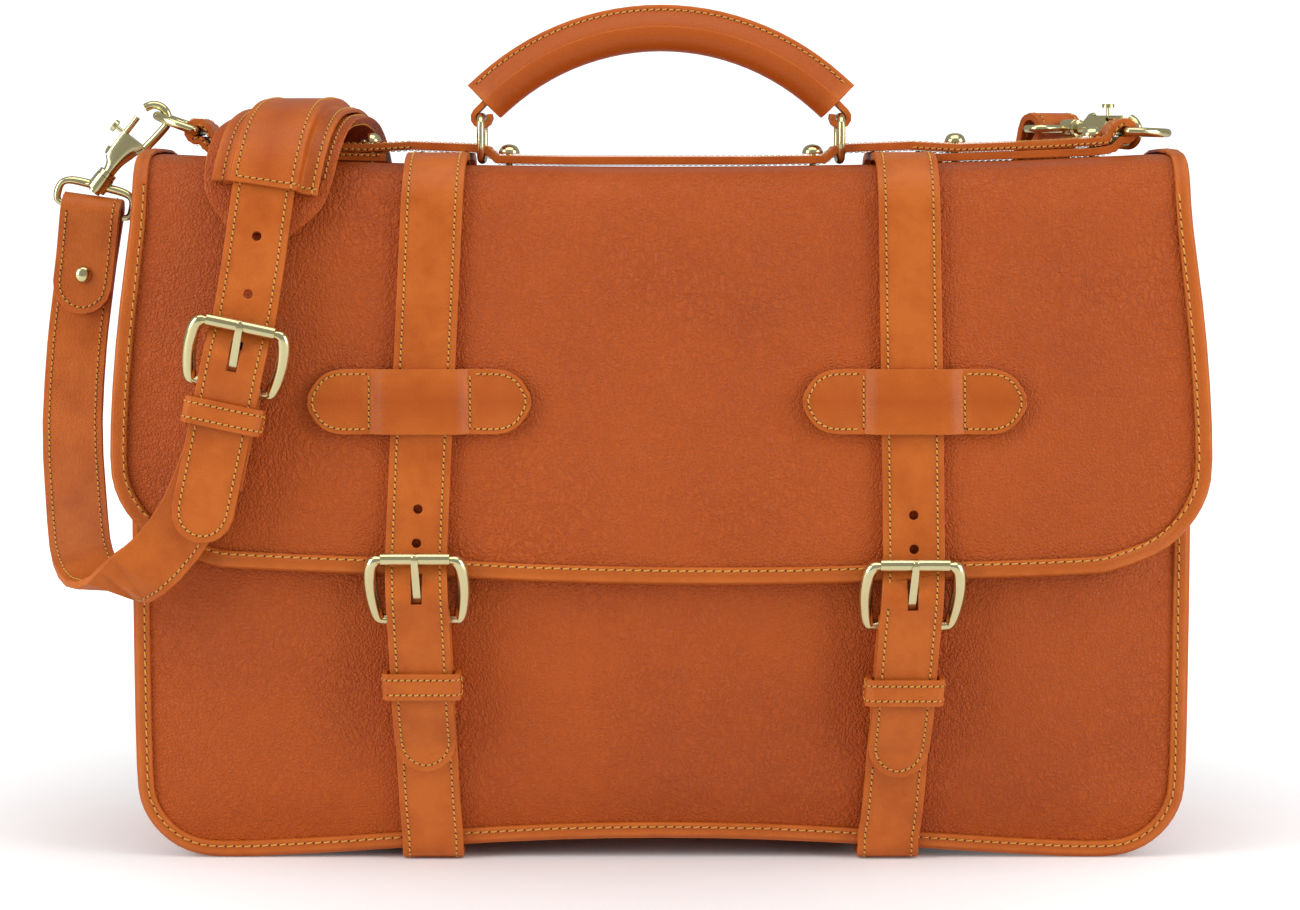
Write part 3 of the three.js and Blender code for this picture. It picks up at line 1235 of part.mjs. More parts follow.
function shortStrap(bar) {
  const away = vec(-Math.sin(FOLD_LEAN), 0, -Math.cos(FOLD_LEAN));
  const foldSide = vec(Math.cos(FOLD_LEAN), 0, -Math.sin(FOLD_LEAN));
  const fold = foldedEnd(bar, Y.clone().negate(), away, FOLD_TAIL);
  const chape = chapePoints(shoulderPlace, SHOULDER_LOOP_DOWN).reverse();
  const points = [...fold, ...SHORT_ROUTE.map(({ x, y, z }) => vec(x, y, z)), ...chape];
  const sides = [
    ...fold.map(() => foldSide),
    ...SHORT_ROUTE.map((_, i) => X.clone().lerp(SHOULDER_SIDE, smooth(i / (SHORT_ROUTE.length - 1)))),
    ...chape.map(() => SHOULDER_SIDE),
  ];
  const frames = strapFrames(points, sides, { start: true });
  const rivetAt = bar.clone().addScaledVector(away, RIVET_DOWN);
  const tools = [
    rod(rivetAt.clone().addScaledVector(Y, -20), rivetAt.clone().addScaledVector(Y, 20), STUD_SHANK + GAP, 10),
    prongCuts(shoulderPlace, SHOULDER_DOWN.clone().negate())[1],
  ];
  addPiece("shoulder_strap_short", cut(sweep(frames, strapSection), tools), strapLeather);
  rivet("left_strap_rivet", rivetAt, Y.clone().negate());
}

// The route of the long side from above the buckle over the case and behind it to the right hook.
// The side vector is the strap's width: it lies along X on the faces and turns through Y at the bottom.
const LONG_ROUTE = [
  { x: -169.2, y: -74.4, z: 231.5, sx: 0.985, sy: 0, sz: -0.17 },
  { x: -167.4, y: -71.6, z: 243, sx: 0.985, sy: 0, sz: -0.17 },
  { x: -165.4, y: -67, z: 260, sx: 0.985, sy: 0, sz: -0.16 },
  { x: -163, y: -64, z: 278, sx: 0.99, sy: -0.02, sz: -0.13 },
  { x: -160.5, y: -59, z: 293, sx: 0.99, sy: -0.04, sz: -0.1 },
  { x: -157.8, y: -50, z: 304.5, sx: 0.99, sy: -0.07, sz: -0.06 },
  { x: -155, y: -34, z: 311.5, sx: 0.995, sy: -0.1, sz: 0 },
  { x: -152.5, y: -14, z: 313.8, sx: 0.995, sy: -0.1, sz: 0 },
  { x: -150.5, y: 8, z: 313.6, sx: 0.995, sy: -0.1, sz: 0 },
  { x: -148.5, y: 30, z: 309.5, sx: 0.995, sy: -0.08, sz: 0 },
  { x: -147, y: 50, z: 299, sx: 0.997, sy: -0.05, sz: 0.03 },
  { x: -145.5, y: 66, z: 281, sx: 0.998, sy: 0, sz: 0.05 },
  { x: -143.5, y: 75, z: 256, sx: 0.998, sy: 0, sz: 0.07 },
  { x: -141, y: 80, z: 224, sx: 0.997, sy: 0, sz: 0.08 },
  { x: -137.5, y: 82.5, z: 186, sx: 0.996, sy: 0.02, sz: 0.1 },
  { x: -132, y: 84.5, z: 146, sx: 0.98, sy: 0.08, sz: 0.16 },
  { x: -122, y: 86.5, z: 106, sx: 0.93, sy: 0.28, sz: 0.24 },
  { x: -104, y: 88.5, z: 68, sx: 0.72, sy: 0.62, sz: 0.3 },
  { x: -72, y: 90.5, z: 38, sx: 0.36, sy: 0.9, sz: 0.2 },
  { x: -32, y: 91.5, z: 24, sx: 0.1, sy: 0.99, sz: 0.04 },
  { x: 14, y: 91.5, z: 22, sx: 0, sy: 1, sz: 0 },
  { x: 60, y: 91, z: 30, sx: -0.12, sy: 0.98, sz: 0.06 },
  { x: 100, y: 90, z: 52, sx: -0.42, sy: 0.86, sz: 0.25 },
  { x: 132, y: 88, z: 88, sx: -0.78, sy: 0.52, sz: 0.34 },
  { x: 151, y: 86, z: 132, sx: -0.93, sy: 0.22, sz: 0.3 },
  { x: 161, y: 85, z: 176, sx: -0.97, sy: 0.02, sz: 0.2 },
  { x: 165, y: 82, z: 212, sx: -0.96, sy: -0.2, sz: 0.12 },
  { x: 166, y: 76, z: 240, sx: -0.88, sy: -0.45, sz: 0.05 },
];

// It returns its stations, for the pad that slides on it.
function longStrap(bar) {
  const route = LONG_ROUTE.map(({ x, y, z }) => vec(x, y, z));
  const tip = tipPoints(shoulderPlace, SHOULDER_LOOP_DOWN, IN_LOOP + LAYER - 0.4, 1.2).reverse();
  const outward = RIGHT_EYE_SIDE.clone().cross(RIGHT_AWAY).normalize().negate();
  const fold = foldedEnd(bar, outward, RIGHT_AWAY, FOLD_TAIL).reverse();
  const sides = [
    ...tip.map(() => SHOULDER_SIDE),
    ...LONG_ROUTE.map(({ sx, sy, sz }) => vec(sx, sy, sz).normalize()),
    ...fold.map(() => RIGHT_EYE_SIDE),
  ];
  const frames = strapFrames([...tip, ...route, ...fold], sides, { start: true, end: true });
  const holes = SHOULDER_SPARE_HOLES.map((above) => {
    const target = SHOULDER_ROLLER.z + above;
    const i = frames.findIndex(({ p }, k) => k > 0 && p.z >= target && frames[k - 1].p.z < target);
    const [before, after] = [frames[i - 1], frames[i]];
    const p = before.p.clone().lerp(after.p, (target - before.p.z) / (after.p.z - before.p.z));
    return rod(p.clone().addScaledVector(after.n, -6), p.clone().addScaledVector(after.n, 6), HOLE_RADIUS, 10);
  });
  holes.push(prongCuts(shoulderPlace, SHOULDER_DOWN.clone().negate())[0]);
  const rivetAt = bar.clone().addScaledVector(RIGHT_AWAY, RIVET_DOWN);
  const ends = [-20, 20].map((a) => rivetAt.clone().addScaledVector(outward, a));
  holes.push(rod(ends[0], ends[1], STUD_SHANK + GAP, 10));
  addPiece("shoulder_strap_long", cut(sweep(frames, strapSection), holes), strapLeather);
  rivet("right_strap_rivet", rivetAt, outward);
  return frames;
}

// The shoulder pad: a padded base under the strap and a sleeve over it, sewn together at their sides
function shoulderPad(frames) {
  const lengths = [0];
  for (let i = 1; i < frames.length; i++) lengths.push(lengths[i - 1] + frames[i].p.distanceTo(frames[i - 1].p));
  const frameAt = (length) => {
    const i = Math.max(1, lengths.findIndex((v) => v >= length));
    const t = (length - lengths[i - 1]) / (lengths[i] - lengths[i - 1]);
    const mix = (key) => frames[i - 1][key].clone().lerp(frames[i][key], t);
    return { p: mix("p"), s: mix("s"), n: mix("n") };
  };
  const run = (from, to, round) => {
    const near = (round ? [0, 0.05, 0.2, 0.5] : [0]).map((share) => share * round);
    const ends = [...near.map((a) => from + a), ...near.map((a) => to - a)];
    const stations = lengths.filter((v) => v > from + 1 && v < to - 1 && ends.every((e) => Math.abs(e - v) > 0.5));
    const all = [...stations, ...ends].sort((a, b) => a - b);
    return all.map((length) => {
      const short = round ? Math.max(0, 1 - Math.min(length - from, to - length) / round) : 0;
      return { ...frameAt(length), w: Math.max(0.45, Math.sqrt(1 - short ** 2)) };
    });
  };
  const under = STRAP_THICKNESS / 2 + 3 * GAP;
  const [a, b] = [PAD_WIDTH / 2, PAD_THICKNESS];
  const base = [
    [-a, under + 1.2], [-a + 3, under], [a - 3, under],
    [a, under + 1.2], [a - 3, under + b], [-a + 3, under + b],
  ];
  addPiece("shoulder_pad_base", sweep(run(PAD_FROM, PAD_FROM + PAD_LENGTH, PAD_WIDTH / 2), base), leather);
  const [flange, inner] = [SLEEVE_WIDTH / 2, STRAP_WIDTH / 2 + 2 * GAP];
  const thick = SLEEVE_THICKNESS;
  const seat = under - 2 * GAP;
  const sleeve = [
    [-flange, seat], [-flange, seat - thick], [-inner - thick, seat - thick - 0.3], [-inner - 0.5, -under - thick],
    [inner + 0.5, -under - thick], [inner + thick, seat - thick - 0.3], [flange, seat - thick], [flange, seat],
    [inner, seat], [inner, -under], [-inner, -under], [-inner, seat],
  ];
  const inset = 20;
  const sleeveFrames = run(PAD_FROM + inset, PAD_FROM + PAD_LENGTH - inset, 0);
  addPiece("shoulder_pad_sleeve", sweep(sleeveFrames, sleeve), strapLeather);
}

// Build the case

addPiece("front_panel", facePanel(-1), leather);
addPiece("back_panel", facePanel(1), leather);
addPiece("gusset", gusset(), leather);
addPiece("front_welt", welt(-1), bindingLeather);
addPiece("back_welt", welt(1), bindingLeather);
addPiece("flap", flap(), leather);
addPiece("flap_binding", flapBinding(), bindingLeather);
for (const row of CASE_STRAPS) {
  caseStrap(row);
  flapKeeper(row);
}
const topStrapZ = topStrap();
STUD_X.forEach((x, i) => stud(i, x, topStrapZ(x)));
for (const side of [-1, 1]) handleRing(side);
dRing(-1, D_TILT_LEFT);
dRing(1, D_TILT_RIGHT);
handle();
buckleSet("shoulder", shoulderPlace, SHOULDER_SIDE, SHOULDER_LOOP_DOWN);

const leftUp = vec(Math.sin(LEFT_HOOK_TILT), 0, Math.cos(LEFT_HOOK_TILT));
const leftAcross = vec(Math.cos(LEFT_HOOK_TILT), 0, -Math.sin(LEFT_HOOK_TILT));
const bowOut = TOP_STRAP_HALF_LENGTH + D_DEPTH * Math.cos(D_TILT_LEFT);
const bowAt = vec(-bowOut, 0, D_BAR_Z + D_DEPTH * Math.sin(D_TILT_LEFT));
const hangs = HOOK_RING - HOOK_WIRE - D_WIRE - GAP;
const leftRingAt = bowAt.addScaledVector(leftUp, -hangs);
shortStrap(snapHook("left", leftUp, leftAcross, leftRingAt, leftAcross, LEFT_EYE_LEAN));
const rightRingAt = vec(TOP_STRAP_HALF_LENGTH + 5.6, D_HALF_WIDTH - 0.6, D_BAR_Z - 0.2);
shoulderPad(longStrap(snapHook("right", RIGHT_HOOK_UP, Z.clone().negate(), rightRingAt, RIGHT_EYE_SIDE, 0)));

const size = new THREE.Box3().setFromObject(bag).getCenter(vec(0, 0, 0));
bag.position.set(-size.x, -size.y, 0);
bag.updateMatrixWorld(true);

export default bag;
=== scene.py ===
import math

import bmesh
import bpy
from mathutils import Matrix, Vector
from mathutils.bvhtree import BVHTree


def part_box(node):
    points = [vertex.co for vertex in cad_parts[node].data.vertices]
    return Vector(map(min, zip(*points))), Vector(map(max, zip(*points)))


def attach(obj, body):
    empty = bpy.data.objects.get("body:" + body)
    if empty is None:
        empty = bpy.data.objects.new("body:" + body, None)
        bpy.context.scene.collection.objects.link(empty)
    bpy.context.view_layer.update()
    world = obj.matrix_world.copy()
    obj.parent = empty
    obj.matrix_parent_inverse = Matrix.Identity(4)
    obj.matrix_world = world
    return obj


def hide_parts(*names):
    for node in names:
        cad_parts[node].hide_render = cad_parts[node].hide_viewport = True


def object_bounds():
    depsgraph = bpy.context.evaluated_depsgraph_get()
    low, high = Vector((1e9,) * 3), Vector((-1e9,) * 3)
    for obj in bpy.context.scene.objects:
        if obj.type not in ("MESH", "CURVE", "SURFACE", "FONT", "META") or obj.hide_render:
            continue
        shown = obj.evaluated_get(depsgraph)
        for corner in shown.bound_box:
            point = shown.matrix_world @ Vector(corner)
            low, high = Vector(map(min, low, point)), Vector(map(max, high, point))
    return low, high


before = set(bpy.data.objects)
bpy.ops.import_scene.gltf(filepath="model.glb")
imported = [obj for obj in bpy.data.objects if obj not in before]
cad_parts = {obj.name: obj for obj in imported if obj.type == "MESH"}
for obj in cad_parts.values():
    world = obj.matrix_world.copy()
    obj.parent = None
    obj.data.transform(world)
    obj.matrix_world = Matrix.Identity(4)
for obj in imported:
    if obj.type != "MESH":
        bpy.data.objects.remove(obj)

cad_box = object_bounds()

BODY_OF = {"left_hook_bolt": "left_bolt", "right_hook_bolt": "right_bolt"}
# How far two faces turn at an edge that stays sharp, at a seam, and within one flat face.
SHARP = math.radians(42)
BRASS_SHARP = math.radians(55)
SEAM_TURN = math.radians(50)
FLAT = math.radians(0.6)
# Lengths are in metres. Points of a solid closer than this are one point.
WELD = 0.00001
# How far the cut edges of a hide and of a strap are rounded, and where a corner has left the skin.
HIDE_ROUNDING = 0.0005
STRAP_ROUNDING = 0.0004
THROWN_OFF = 1.6
# How much fuller the buckle frames, the other wires and a bar inside its roller are made.
FRAME_FULLER = 0.0009
WIRE_FULLER = 0.0002
HELD_FULLER = 0.0001
ROLLER_PLAY = 0.0012
# The bolts keep their play in the hooks.
SLIDING_FIT = {"hook_body": 0.0, "hook_bolt": -0.00015}

# Soft sheets of hide, whose facets are rounded into one smooth skin.
HIDES = ["front_panel", "back_panel", "gusset", "flap", "shoulder_pad_base"]
BOUND_EDGES = ["front_welt", "back_welt", "flap_binding"]
ROUNDED_STRAPS = ["handle_grip", "shoulder_pad_sleeve", "left_flap_keeper", "right_flap_keeper"]
FLAT_STRAPS = [
    "left_case_strap", "right_case_strap", "left_strap_loop", "right_strap_loop", "top_strap",
    "handle_core", "shoulder_strap_short", "shoulder_strap_long", "shoulder_strap_loop",
]


# Shader node groups

def socket(group, name, kind, into, value=None):
    added = group.interface.new_socket(name=name, in_out="INPUT" if into else "OUTPUT", socket_type=kind)
    if value is not None:
        added.default_value = value


def new_group(name):
    group = bpy.data.node_groups.new(name, "ShaderNodeTree")
    return group, group.nodes.new("NodeGroupInput"), group.nodes.new("NodeGroupOutput")


def maths(tree, kind, a, b=None, clamp=False):
    node = tree.nodes.new("ShaderNodeMath")
    node.operation = kind
    node.use_clamp = clamp
    for place, value in enumerate((a, b)):
        if value is None:
            continue
        if isinstance(value, (int, float)):
            node.inputs[place].default_value = value
        else:
            tree.links.new(value, node.inputs[place])
    return node.outputs[0]


def noise(tree, at, scale, detail=3.0, rough=0.55):
    node = tree.nodes.new("ShaderNodeTexNoise")
    node.inputs["Scale"].default_value = scale
    node.inputs["Detail"].default_value = detail
    node.inputs["Roughness"].default_value = rough
    tree.links.new(at, node.inputs["Vector"])
    return node.outputs["Fac"]


def stretched(tree, at, stretch, turn=(0, 0, 0)):
    node = tree.nodes.new("ShaderNodeMapping")
    node.inputs["Scale"].default_value = stretch
    node.inputs["Rotation"].default_value = turn
    tree.links.new(at, node.inputs["Vector"])
    return node.outputs["Vector"]


def span(tree, value, low, high):
    node = tree.nodes.new("ShaderNodeMapRange")
    node.inputs["From Min"].default_value = low
    node.inputs["From Max"].default_value = high
    tree.links.new(value, node.inputs["Value"])
    return node.outputs["Result"]


def hide_grain():
    """Pores and drawn wrinkles of a vegetable-tanned hide, and a mask of painted shade in their creases."""
    group, came, out = new_group("hide_grain")
    socket(group, "Vector", "NodeSocketVector", True)
    socket(group, "Wrinkle", "NodeSocketFloat", True, 1.0)
    socket(group, "Height", "NodeSocketFloat", False)
    socket(group, "Crease Shade", "NodeSocketFloat", False)
    at = came.outputs["Vector"]
    cells = group.nodes.new("ShaderNodeTexVoronoi")
    cells.feature = "DISTANCE_TO_EDGE"
    cells.inputs["Scale"].default_value = 620
    group.links.new(at, cells.inputs["Vector"])
    pores = maths(group, "MULTIPLY", span(group, cells.outputs["Distance"], 0.0, 0.22), 0.35)
    pulled = group.nodes.new("ShaderNodeVectorMath")
    pulled.operation = "MULTIPLY_ADD"
    wander = group.nodes.new("ShaderNodeTexNoise")
    wander.inputs["Scale"].default_value = 95
    wander.inputs["Detail"].default_value = 3
    group.links.new(at, wander.inputs["Vector"])
    group.links.new(wander.outputs["Color"], pulled.inputs[0])
    pulled.inputs[1].default_value = (0.012, 0.012, 0.012)
    group.links.new(at, pulled.inputs[2])
    drawn = stretched(group, pulled.outputs["Vector"], (1.0, 1.0, 0.42), (0.3, 0.25, 0.2))
    veins = group.nodes.new("ShaderNodeTexVoronoi")
    veins.feature = "DISTANCE_TO_EDGE"
    veins.inputs["Scale"].default_value = 380
    group.links.new(drawn, veins.inputs["Vector"])
    wrinkles = span(group, veins.outputs["Distance"], 0.0, 0.30)
    patch = span(group, noise(group, at, 14, 3.0), 0.30, 0.70)
    amount = maths(group, "MULTIPLY", patch, came.outputs["Wrinkle"])
    creased = maths(group, "MULTIPLY", maths(group, "SUBTRACT", 1.0, wrinkles), amount)
    fine = maths(group, "MULTIPLY", noise(group, at, 900, 4.0, 0.6), 0.4)
    height = maths(group, "ADD", maths(group, "ADD", pores, fine), maths(group, "MULTIPLY", creased, -0.55))
    group.links.new(height, out.inputs["Height"])
    # Painted shade: the wrinkle creases are handed out to darken the leather's colour.
    group.links.new(creased, out.inputs["Crease Shade"])
    return group


def hide_tone():
    """Broad cloudy change of tone over the hide, and its fine mottling."""
    group, came, out = new_group("hide_tone")
    socket(group, "Vector", "NodeSocketVector", True)
    socket(group, "Light", "NodeSocketColor", True)
    socket(group, "Deep", "NodeSocketColor", True)
    socket(group, "Spread", "NodeSocketFloat", True, 1.0)
    socket(group, "Colour", "NodeSocketColor", False)
    at = came.outputs["Vector"]
    broad = span(group, noise(group, at, 9, 3.0), 0.30, 0.70)
    mottle = noise(group, at, 130, 4.0, 0.65)
    clouds = maths(group, "MULTIPLY", broad, 0.55)
    factor = maths(group, "ADD", clouds, maths(group, "MULTIPLY", mottle, 0.45))
    factor = maths(group, "MULTIPLY", factor, came.outputs["Spread"], clamp=True)
    mix = group.nodes.new("ShaderNodeMix")
    mix.data_type = "RGBA"
    group.links.new(factor, mix.inputs["Factor"])
    group.links.new(came.outputs["Light"], mix.inputs["A"])
    group.links.new(came.outputs["Deep"], mix.inputs["B"])
    group.links.new(mix.outputs["Result"], out.inputs["Colour"])
    return group


def edge_wear():
    """Paler, drier leather along cut and handled edges."""
    group, came, out = new_group("edge_wear")
    socket(group, "Vector", "NodeSocketVector", True)
    socket(group, "Colour", "NodeSocketColor", True)
    socket(group, "Worn", "NodeSocketColor", True)
    socket(group, "Edge", "NodeSocketFloat", True, 0.0)
    socket(group, "Amount", "NodeSocketFloat", True, 0.7)
    socket(group, "Result", "NodeSocketColor", False)
    socket(group, "Mask", "NodeSocketFloat", False)
    rubbed = span(group, noise(group, came.outputs["Vector"], 60, 4.0, 0.6), 0.25, 0.60)
    mask = maths(group, "MULTIPLY", came.outputs["Edge"], rubbed)
    mask = maths(group, "MULTIPLY", mask, came.outputs["Amount"], clamp=True)
    mix = group.nodes.new("ShaderNodeMix")
    mix.data_type = "RGBA"
    group.links.new(mask, mix.inputs["Factor"])
    group.links.new(came.outputs["Colour"], mix.inputs["A"])
    group.links.new(came.outputs["Worn"], mix.inputs["B"])
    group.links.new(mix.outputs["Result"], out.inputs["Result"])
    group.links.new(mask, out.inputs["Mask"])
    return group


GRAIN = hide_grain()
TONE = hide_tone()
WEAR = edge_wear()


def start_material(name):
    material = bpy.data.materials.new(name)
    material.use_nodes = True
    tree = material.node_tree
    shader = tree.nodes["Principled BSDF"]
    place = tree.nodes.new("ShaderNodeTexCoord").outputs["Object"]
    return material, tree, shader, place


def use_group(tree, group, **values):
    node = tree.nodes.new("ShaderNodeGroup")
    node.node_tree = group
    for name, value in values.items():
        if isinstance(value, (int, float, tuple)):
            node.inputs[name].default_value = value
        else:
            tree.links.new(value, node.inputs[name])
    return node


def bumped(tree, shader, height, strength, depth):
    bump = tree.nodes.new("ShaderNodeBump")
    bump.inputs["Strength"].default_value = strength
    bump.inputs["Distance"].default_value = depth
    tree.links.new(height, bump.inputs["Height"])
    tree.links.new(bump.outputs["Normal"], shader.inputs["Normal"])


def tanned(name, light, deep, worn, wrinkle, bump, rough, spread=1.0):
    """Oiled leather: tone, grain, painted shade in the wrinkle creases, wear along its edges and a soft
    waxed sheen.
    """
    material, tree, shader, place = start_material(name)
    grain = use_group(tree, GRAIN, Vector=place, Wrinkle=wrinkle)
    tone = use_group(tree, TONE, Vector=place, Light=light, Deep=deep, Spread=spread)
    edge = tree.nodes.new("ShaderNodeAttribute")
    edge.attribute_name = "edge"
    wear = use_group(
        tree, WEAR, Vector=place, Colour=tone.outputs["Colour"], Worn=worn,
        Edge=edge.outputs["Fac"], Amount=0.85)
    # Painted shade: the colour is darkened in the creases of the wrinkles.
    shade = tree.nodes.new("ShaderNodeMix")
    shade.data_type = "RGBA"
    shade.blend_type = "MULTIPLY"
    shade.inputs["B"].default_value = (0.72, 0.55, 0.42, 1)
    tree.links.new(maths(tree, "MULTIPLY", grain.outputs["Crease Shade"], 0.5), shade.inputs["Factor"])
    tree.links.new(wear.outputs["Result"], shade.inputs["A"])
    tree.links.new(shade.outputs["Result"], shader.inputs["Base Color"])
    gloss = maths(tree, "ADD", maths(tree, "MULTIPLY", noise(tree, place, 45, 3.0), 0.16), rough - 0.08)
    gloss = maths(tree, "ADD", gloss, maths(tree, "MULTIPLY", wear.outputs["Mask"], 0.06))
    tree.links.new(gloss, shader.inputs["Roughness"])
    shader.inputs["Specular IOR Level"].default_value = 0.24
    shader.inputs["Coat Weight"].default_value = 0.08
    shader.inputs["Coat Roughness"].default_value = 0.40
    bumped(tree, shader, grain.outputs["Height"], bump, 0.0007)
    return material


def waxed_thread():
    material, tree, shader, place = start_material("waxed_thread")
    tone = use_group(tree, TONE, Vector=place, Light=(0.80, 0.40, 0.07, 1), Deep=(0.56, 0.24, 0.03, 1))
    tree.links.new(tone.outputs["Colour"], shader.inputs["Base Color"])
    tree.links.new(maths(tree, "ADD", maths(tree, "MULTIPLY", noise(tree, place, 900), 0.2), 0.4),
                   shader.inputs["Roughness"])
    twist = tree.nodes.new("ShaderNodeTexWave")
    twist.inputs["Scale"].default_value = 900
    twist.bands_direction = "DIAGONAL"
    tree.links.new(place, twist.inputs["Vector"])
    bumped(tree, shader, twist.outputs["Fac"], 0.4, 0.0001)
    return material


def awl_hole_shade():
    # Painted shade: a near-black colour for the discs that stand for the shaded inside of the needle holes.
    material, tree, shader, place = start_material("awl_hole_shade")
    tone = use_group(tree, TONE, Vector=place, Light=(0.05, 0.013, 0.004, 1), Deep=(0.02, 0.006, 0.002, 1))
    tree.links.new(tone.outputs["Colour"], shader.inputs["Base Color"])
    shader.inputs["Roughness"].default_value = 0.9
    return material


def polished_brass():
    material, tree, shader, place = start_material("polished_brass")
    tone = use_group(tree, TONE, Vector=place, Light=(0.80, 0.74, 0.44, 1), Deep=(0.60, 0.53, 0.25, 1))
    tree.links.new(tone.outputs["Colour"], shader.inputs["Base Color"])
    shader.inputs["Metallic"].default_value = 1.0
    brushed = noise(tree, stretched(tree, place, (1.0, 0.2, 1.0)), 1400, 3.0)
    polish = maths(tree, "ADD", maths(tree, "MULTIPLY", brushed, 0.14), 0.10)
    tree.links.new(polish, shader.inputs["Roughness"])
    bumped(tree, shader, brushed, 0.12, 0.00005)
    return material


BODY = tanned(
    "body_hide", (0.540, 0.100, 0.0065, 1), (0.395, 0.064, 0.0040, 1), (0.60, 0.14, 0.014, 1),
    wrinkle=1.0, bump=1.0, rough=0.42)
STRAP = tanned(
    "strap_leather", (0.470, 0.095, 0.0085, 1), (0.375, 0.069, 0.0055, 1), (0.58, 0.14, 0.016, 1),
    wrinkle=0.12, bump=0.26, rough=0.40, spread=0.7)
BINDING = tanned(
    "binding_leather", (0.530, 0.118, 0.0110, 1), (0.420, 0.083, 0.0070, 1), (0.60, 0.15, 0.020, 1),
    wrinkle=0.2, bump=0.30, rough=0.42)
THREAD = waxed_thread()
HOLE_SHADE = awl_hole_shade()
BRASS = polished_brass()


# Pieces of leather and brass, made over the frame's solids

def turn_between(edge):
    return edge.calc_face_angle(0.0) if len(edge.link_faces) == 2 else 0.0


def add_piece(name, mesh, body):
    piece = bpy.data.objects.new(name, mesh)
    bpy.context.scene.collection.objects.link(piece)
    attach(piece, body)
    return piece


def welded(node):
    """The node's solid, joined up, for working on."""
    shape = bmesh.new()
    shape.from_mesh(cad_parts[node].data)
    bmesh.ops.remove_doubles(shape, verts=shape.verts, dist=WELD)
    return shape


def join_flat_faces(shape):
    bmesh.ops.dissolve_limit(shape, angle_limit=FLAT, verts=shape.verts, edges=shape.edges)


def rounded_skin(node, levels, sharp):
    """The solid's surface with its facets turned into a smooth skin and its sharp edges kept."""
    shape = welded(node)
    if levels:
        bmesh.ops.join_triangles(
            shape, faces=shape.faces,
            angle_face_threshold=math.radians(30), angle_shape_threshold=math.radians(60))
        crease = shape.edges.layers.float.new("crease_edge")
        for edge in shape.edges:
            edge[crease] = 1.0 if turn_between(edge) > sharp else 0.0
    else:
        join_flat_faces(shape)
    mesh = bpy.data.meshes.new(node + "_skin")
    shape.to_mesh(mesh)
    shape.free()
    if not levels:
        return mesh
    rough = bpy.data.objects.new(node + "_rough", mesh)
    bpy.context.scene.collection.objects.link(rough)
    smooth = rough.modifiers.new("round", "SUBSURF")
    smooth.levels = levels
    smooth.render_levels = levels
    graph = bpy.context.evaluated_depsgraph_get()
    mesh = bpy.data.meshes.new_from_object(rough.evaluated_get(graph))
    bpy.data.objects.remove(rough)
    return mesh


def shade_smooth(mesh, sharp_turn):
    for face in mesh.polygons:
        face.use_smooth = True
    mesh.set_sharp_from_angle(angle=math.radians(sharp_turn))


def soften_edges(mesh, width, sharp):
    """Rounds the sharp edges off and marks them as edge for the wear."""
    shape = bmesh.new()
    shape.from_mesh(mesh)
    edge_layer = shape.verts.layers.float.new("edge")
    edges = [edge for edge in shape.edges if turn_between(edge) > sharp]
    before = BVHTree.FromBMesh(shape)
    rounded = bmesh.ops.bevel(
        shape, geom=edges, offset=width, offset_type="OFFSET", segments=2, profile=0.55,
        affect="EDGES", clamp_overlap=False)
    for vert in rounded["verts"]:
        vert[edge_layer] = 1.0
        # A corner that the rounding throws off the skin is laid back on it.
        found, _, _, away = before.find_nearest(vert.co)
        if away > THROWN_OFF * width:
            vert.co = found
    shape.to_mesh(mesh)
    shape.free()


def swell(mesh, amount, kept_box=None):
    """Fills out a wire that the smoothing has thinned, but not where a roller turns on it."""
    ways = [vert.normal.copy() for vert in mesh.vertices]
    for vert, way in zip(mesh.vertices, ways):
        held = kept_box and all(
            kept_box[0][axis] - ROLLER_PLAY < vert.co[axis] < kept_box[1][axis] + ROLLER_PLAY
            for axis in range(3))
        vert.co += way * (HELD_FULLER if held else amount)


def dress(node, material, slot_name, levels, rounding, sharp=SHARP):
    """Makes the piece that stands for a node, in its leather or brass."""
    mesh = rounded_skin(node, levels, sharp)
    if slot_name == "brass":
        roller = node.replace("frame", "roller") if node.endswith("buckle_frame") else None
        fuller = FRAME_FULLER if roller else SLIDING_FIT.get(node.split("_", 1)[1], WIRE_FULLER)
        swell(mesh, fuller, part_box(roller) if roller else None)
    if rounding:
        soften_edges(mesh, rounding, sharp)
    shade_smooth(mesh, 50 if rounding else 38)
    mesh.materials.clear()
    mesh.materials.append(material)
    piece = add_piece(node + "_made", mesh, BODY_OF.get(node, "case"))
    shading = piece.modifiers.new("flat faces", "WEIGHTED_NORMAL")
    shading.keep_sharp = True
    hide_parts(node)
    return piece


# Which nodes, their material and slot, how often the skin is smoothed, and how far its edges are rounded.
LEATHER = [
    (HIDES, BODY, "body_leather", 2, HIDE_ROUNDING),
    (BOUND_EDGES, BINDING, "binding_leather", 1, STRAP_ROUNDING),
    (ROUNDED_STRAPS, STRAP, "strap_leather", 1, STRAP_ROUNDING),
    (FLAT_STRAPS, STRAP, "strap_leather", 0, STRAP_ROUNDING),
]
made = {}
for nodes, material, slot_name, levels, rounding in LEATHER:
    for node in nodes:
        made[node] = dress(node, material, slot_name, levels, rounding)
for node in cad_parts:
    if node not in made:
        made[node] = dress(node, BRASS, "brass", 2, 0, BRASS_SHARP)


# Stitching

# How near to a broad face a place beside its edge lies, and how near to a stitch the skin under it.
SAME_FACE = 0.0012
SKIN_REACH = 0.003
SHORTEST_STITCH, LONGEST_STITCH = 0.0004, 0.009
THREAD_SIZE = 0.00072
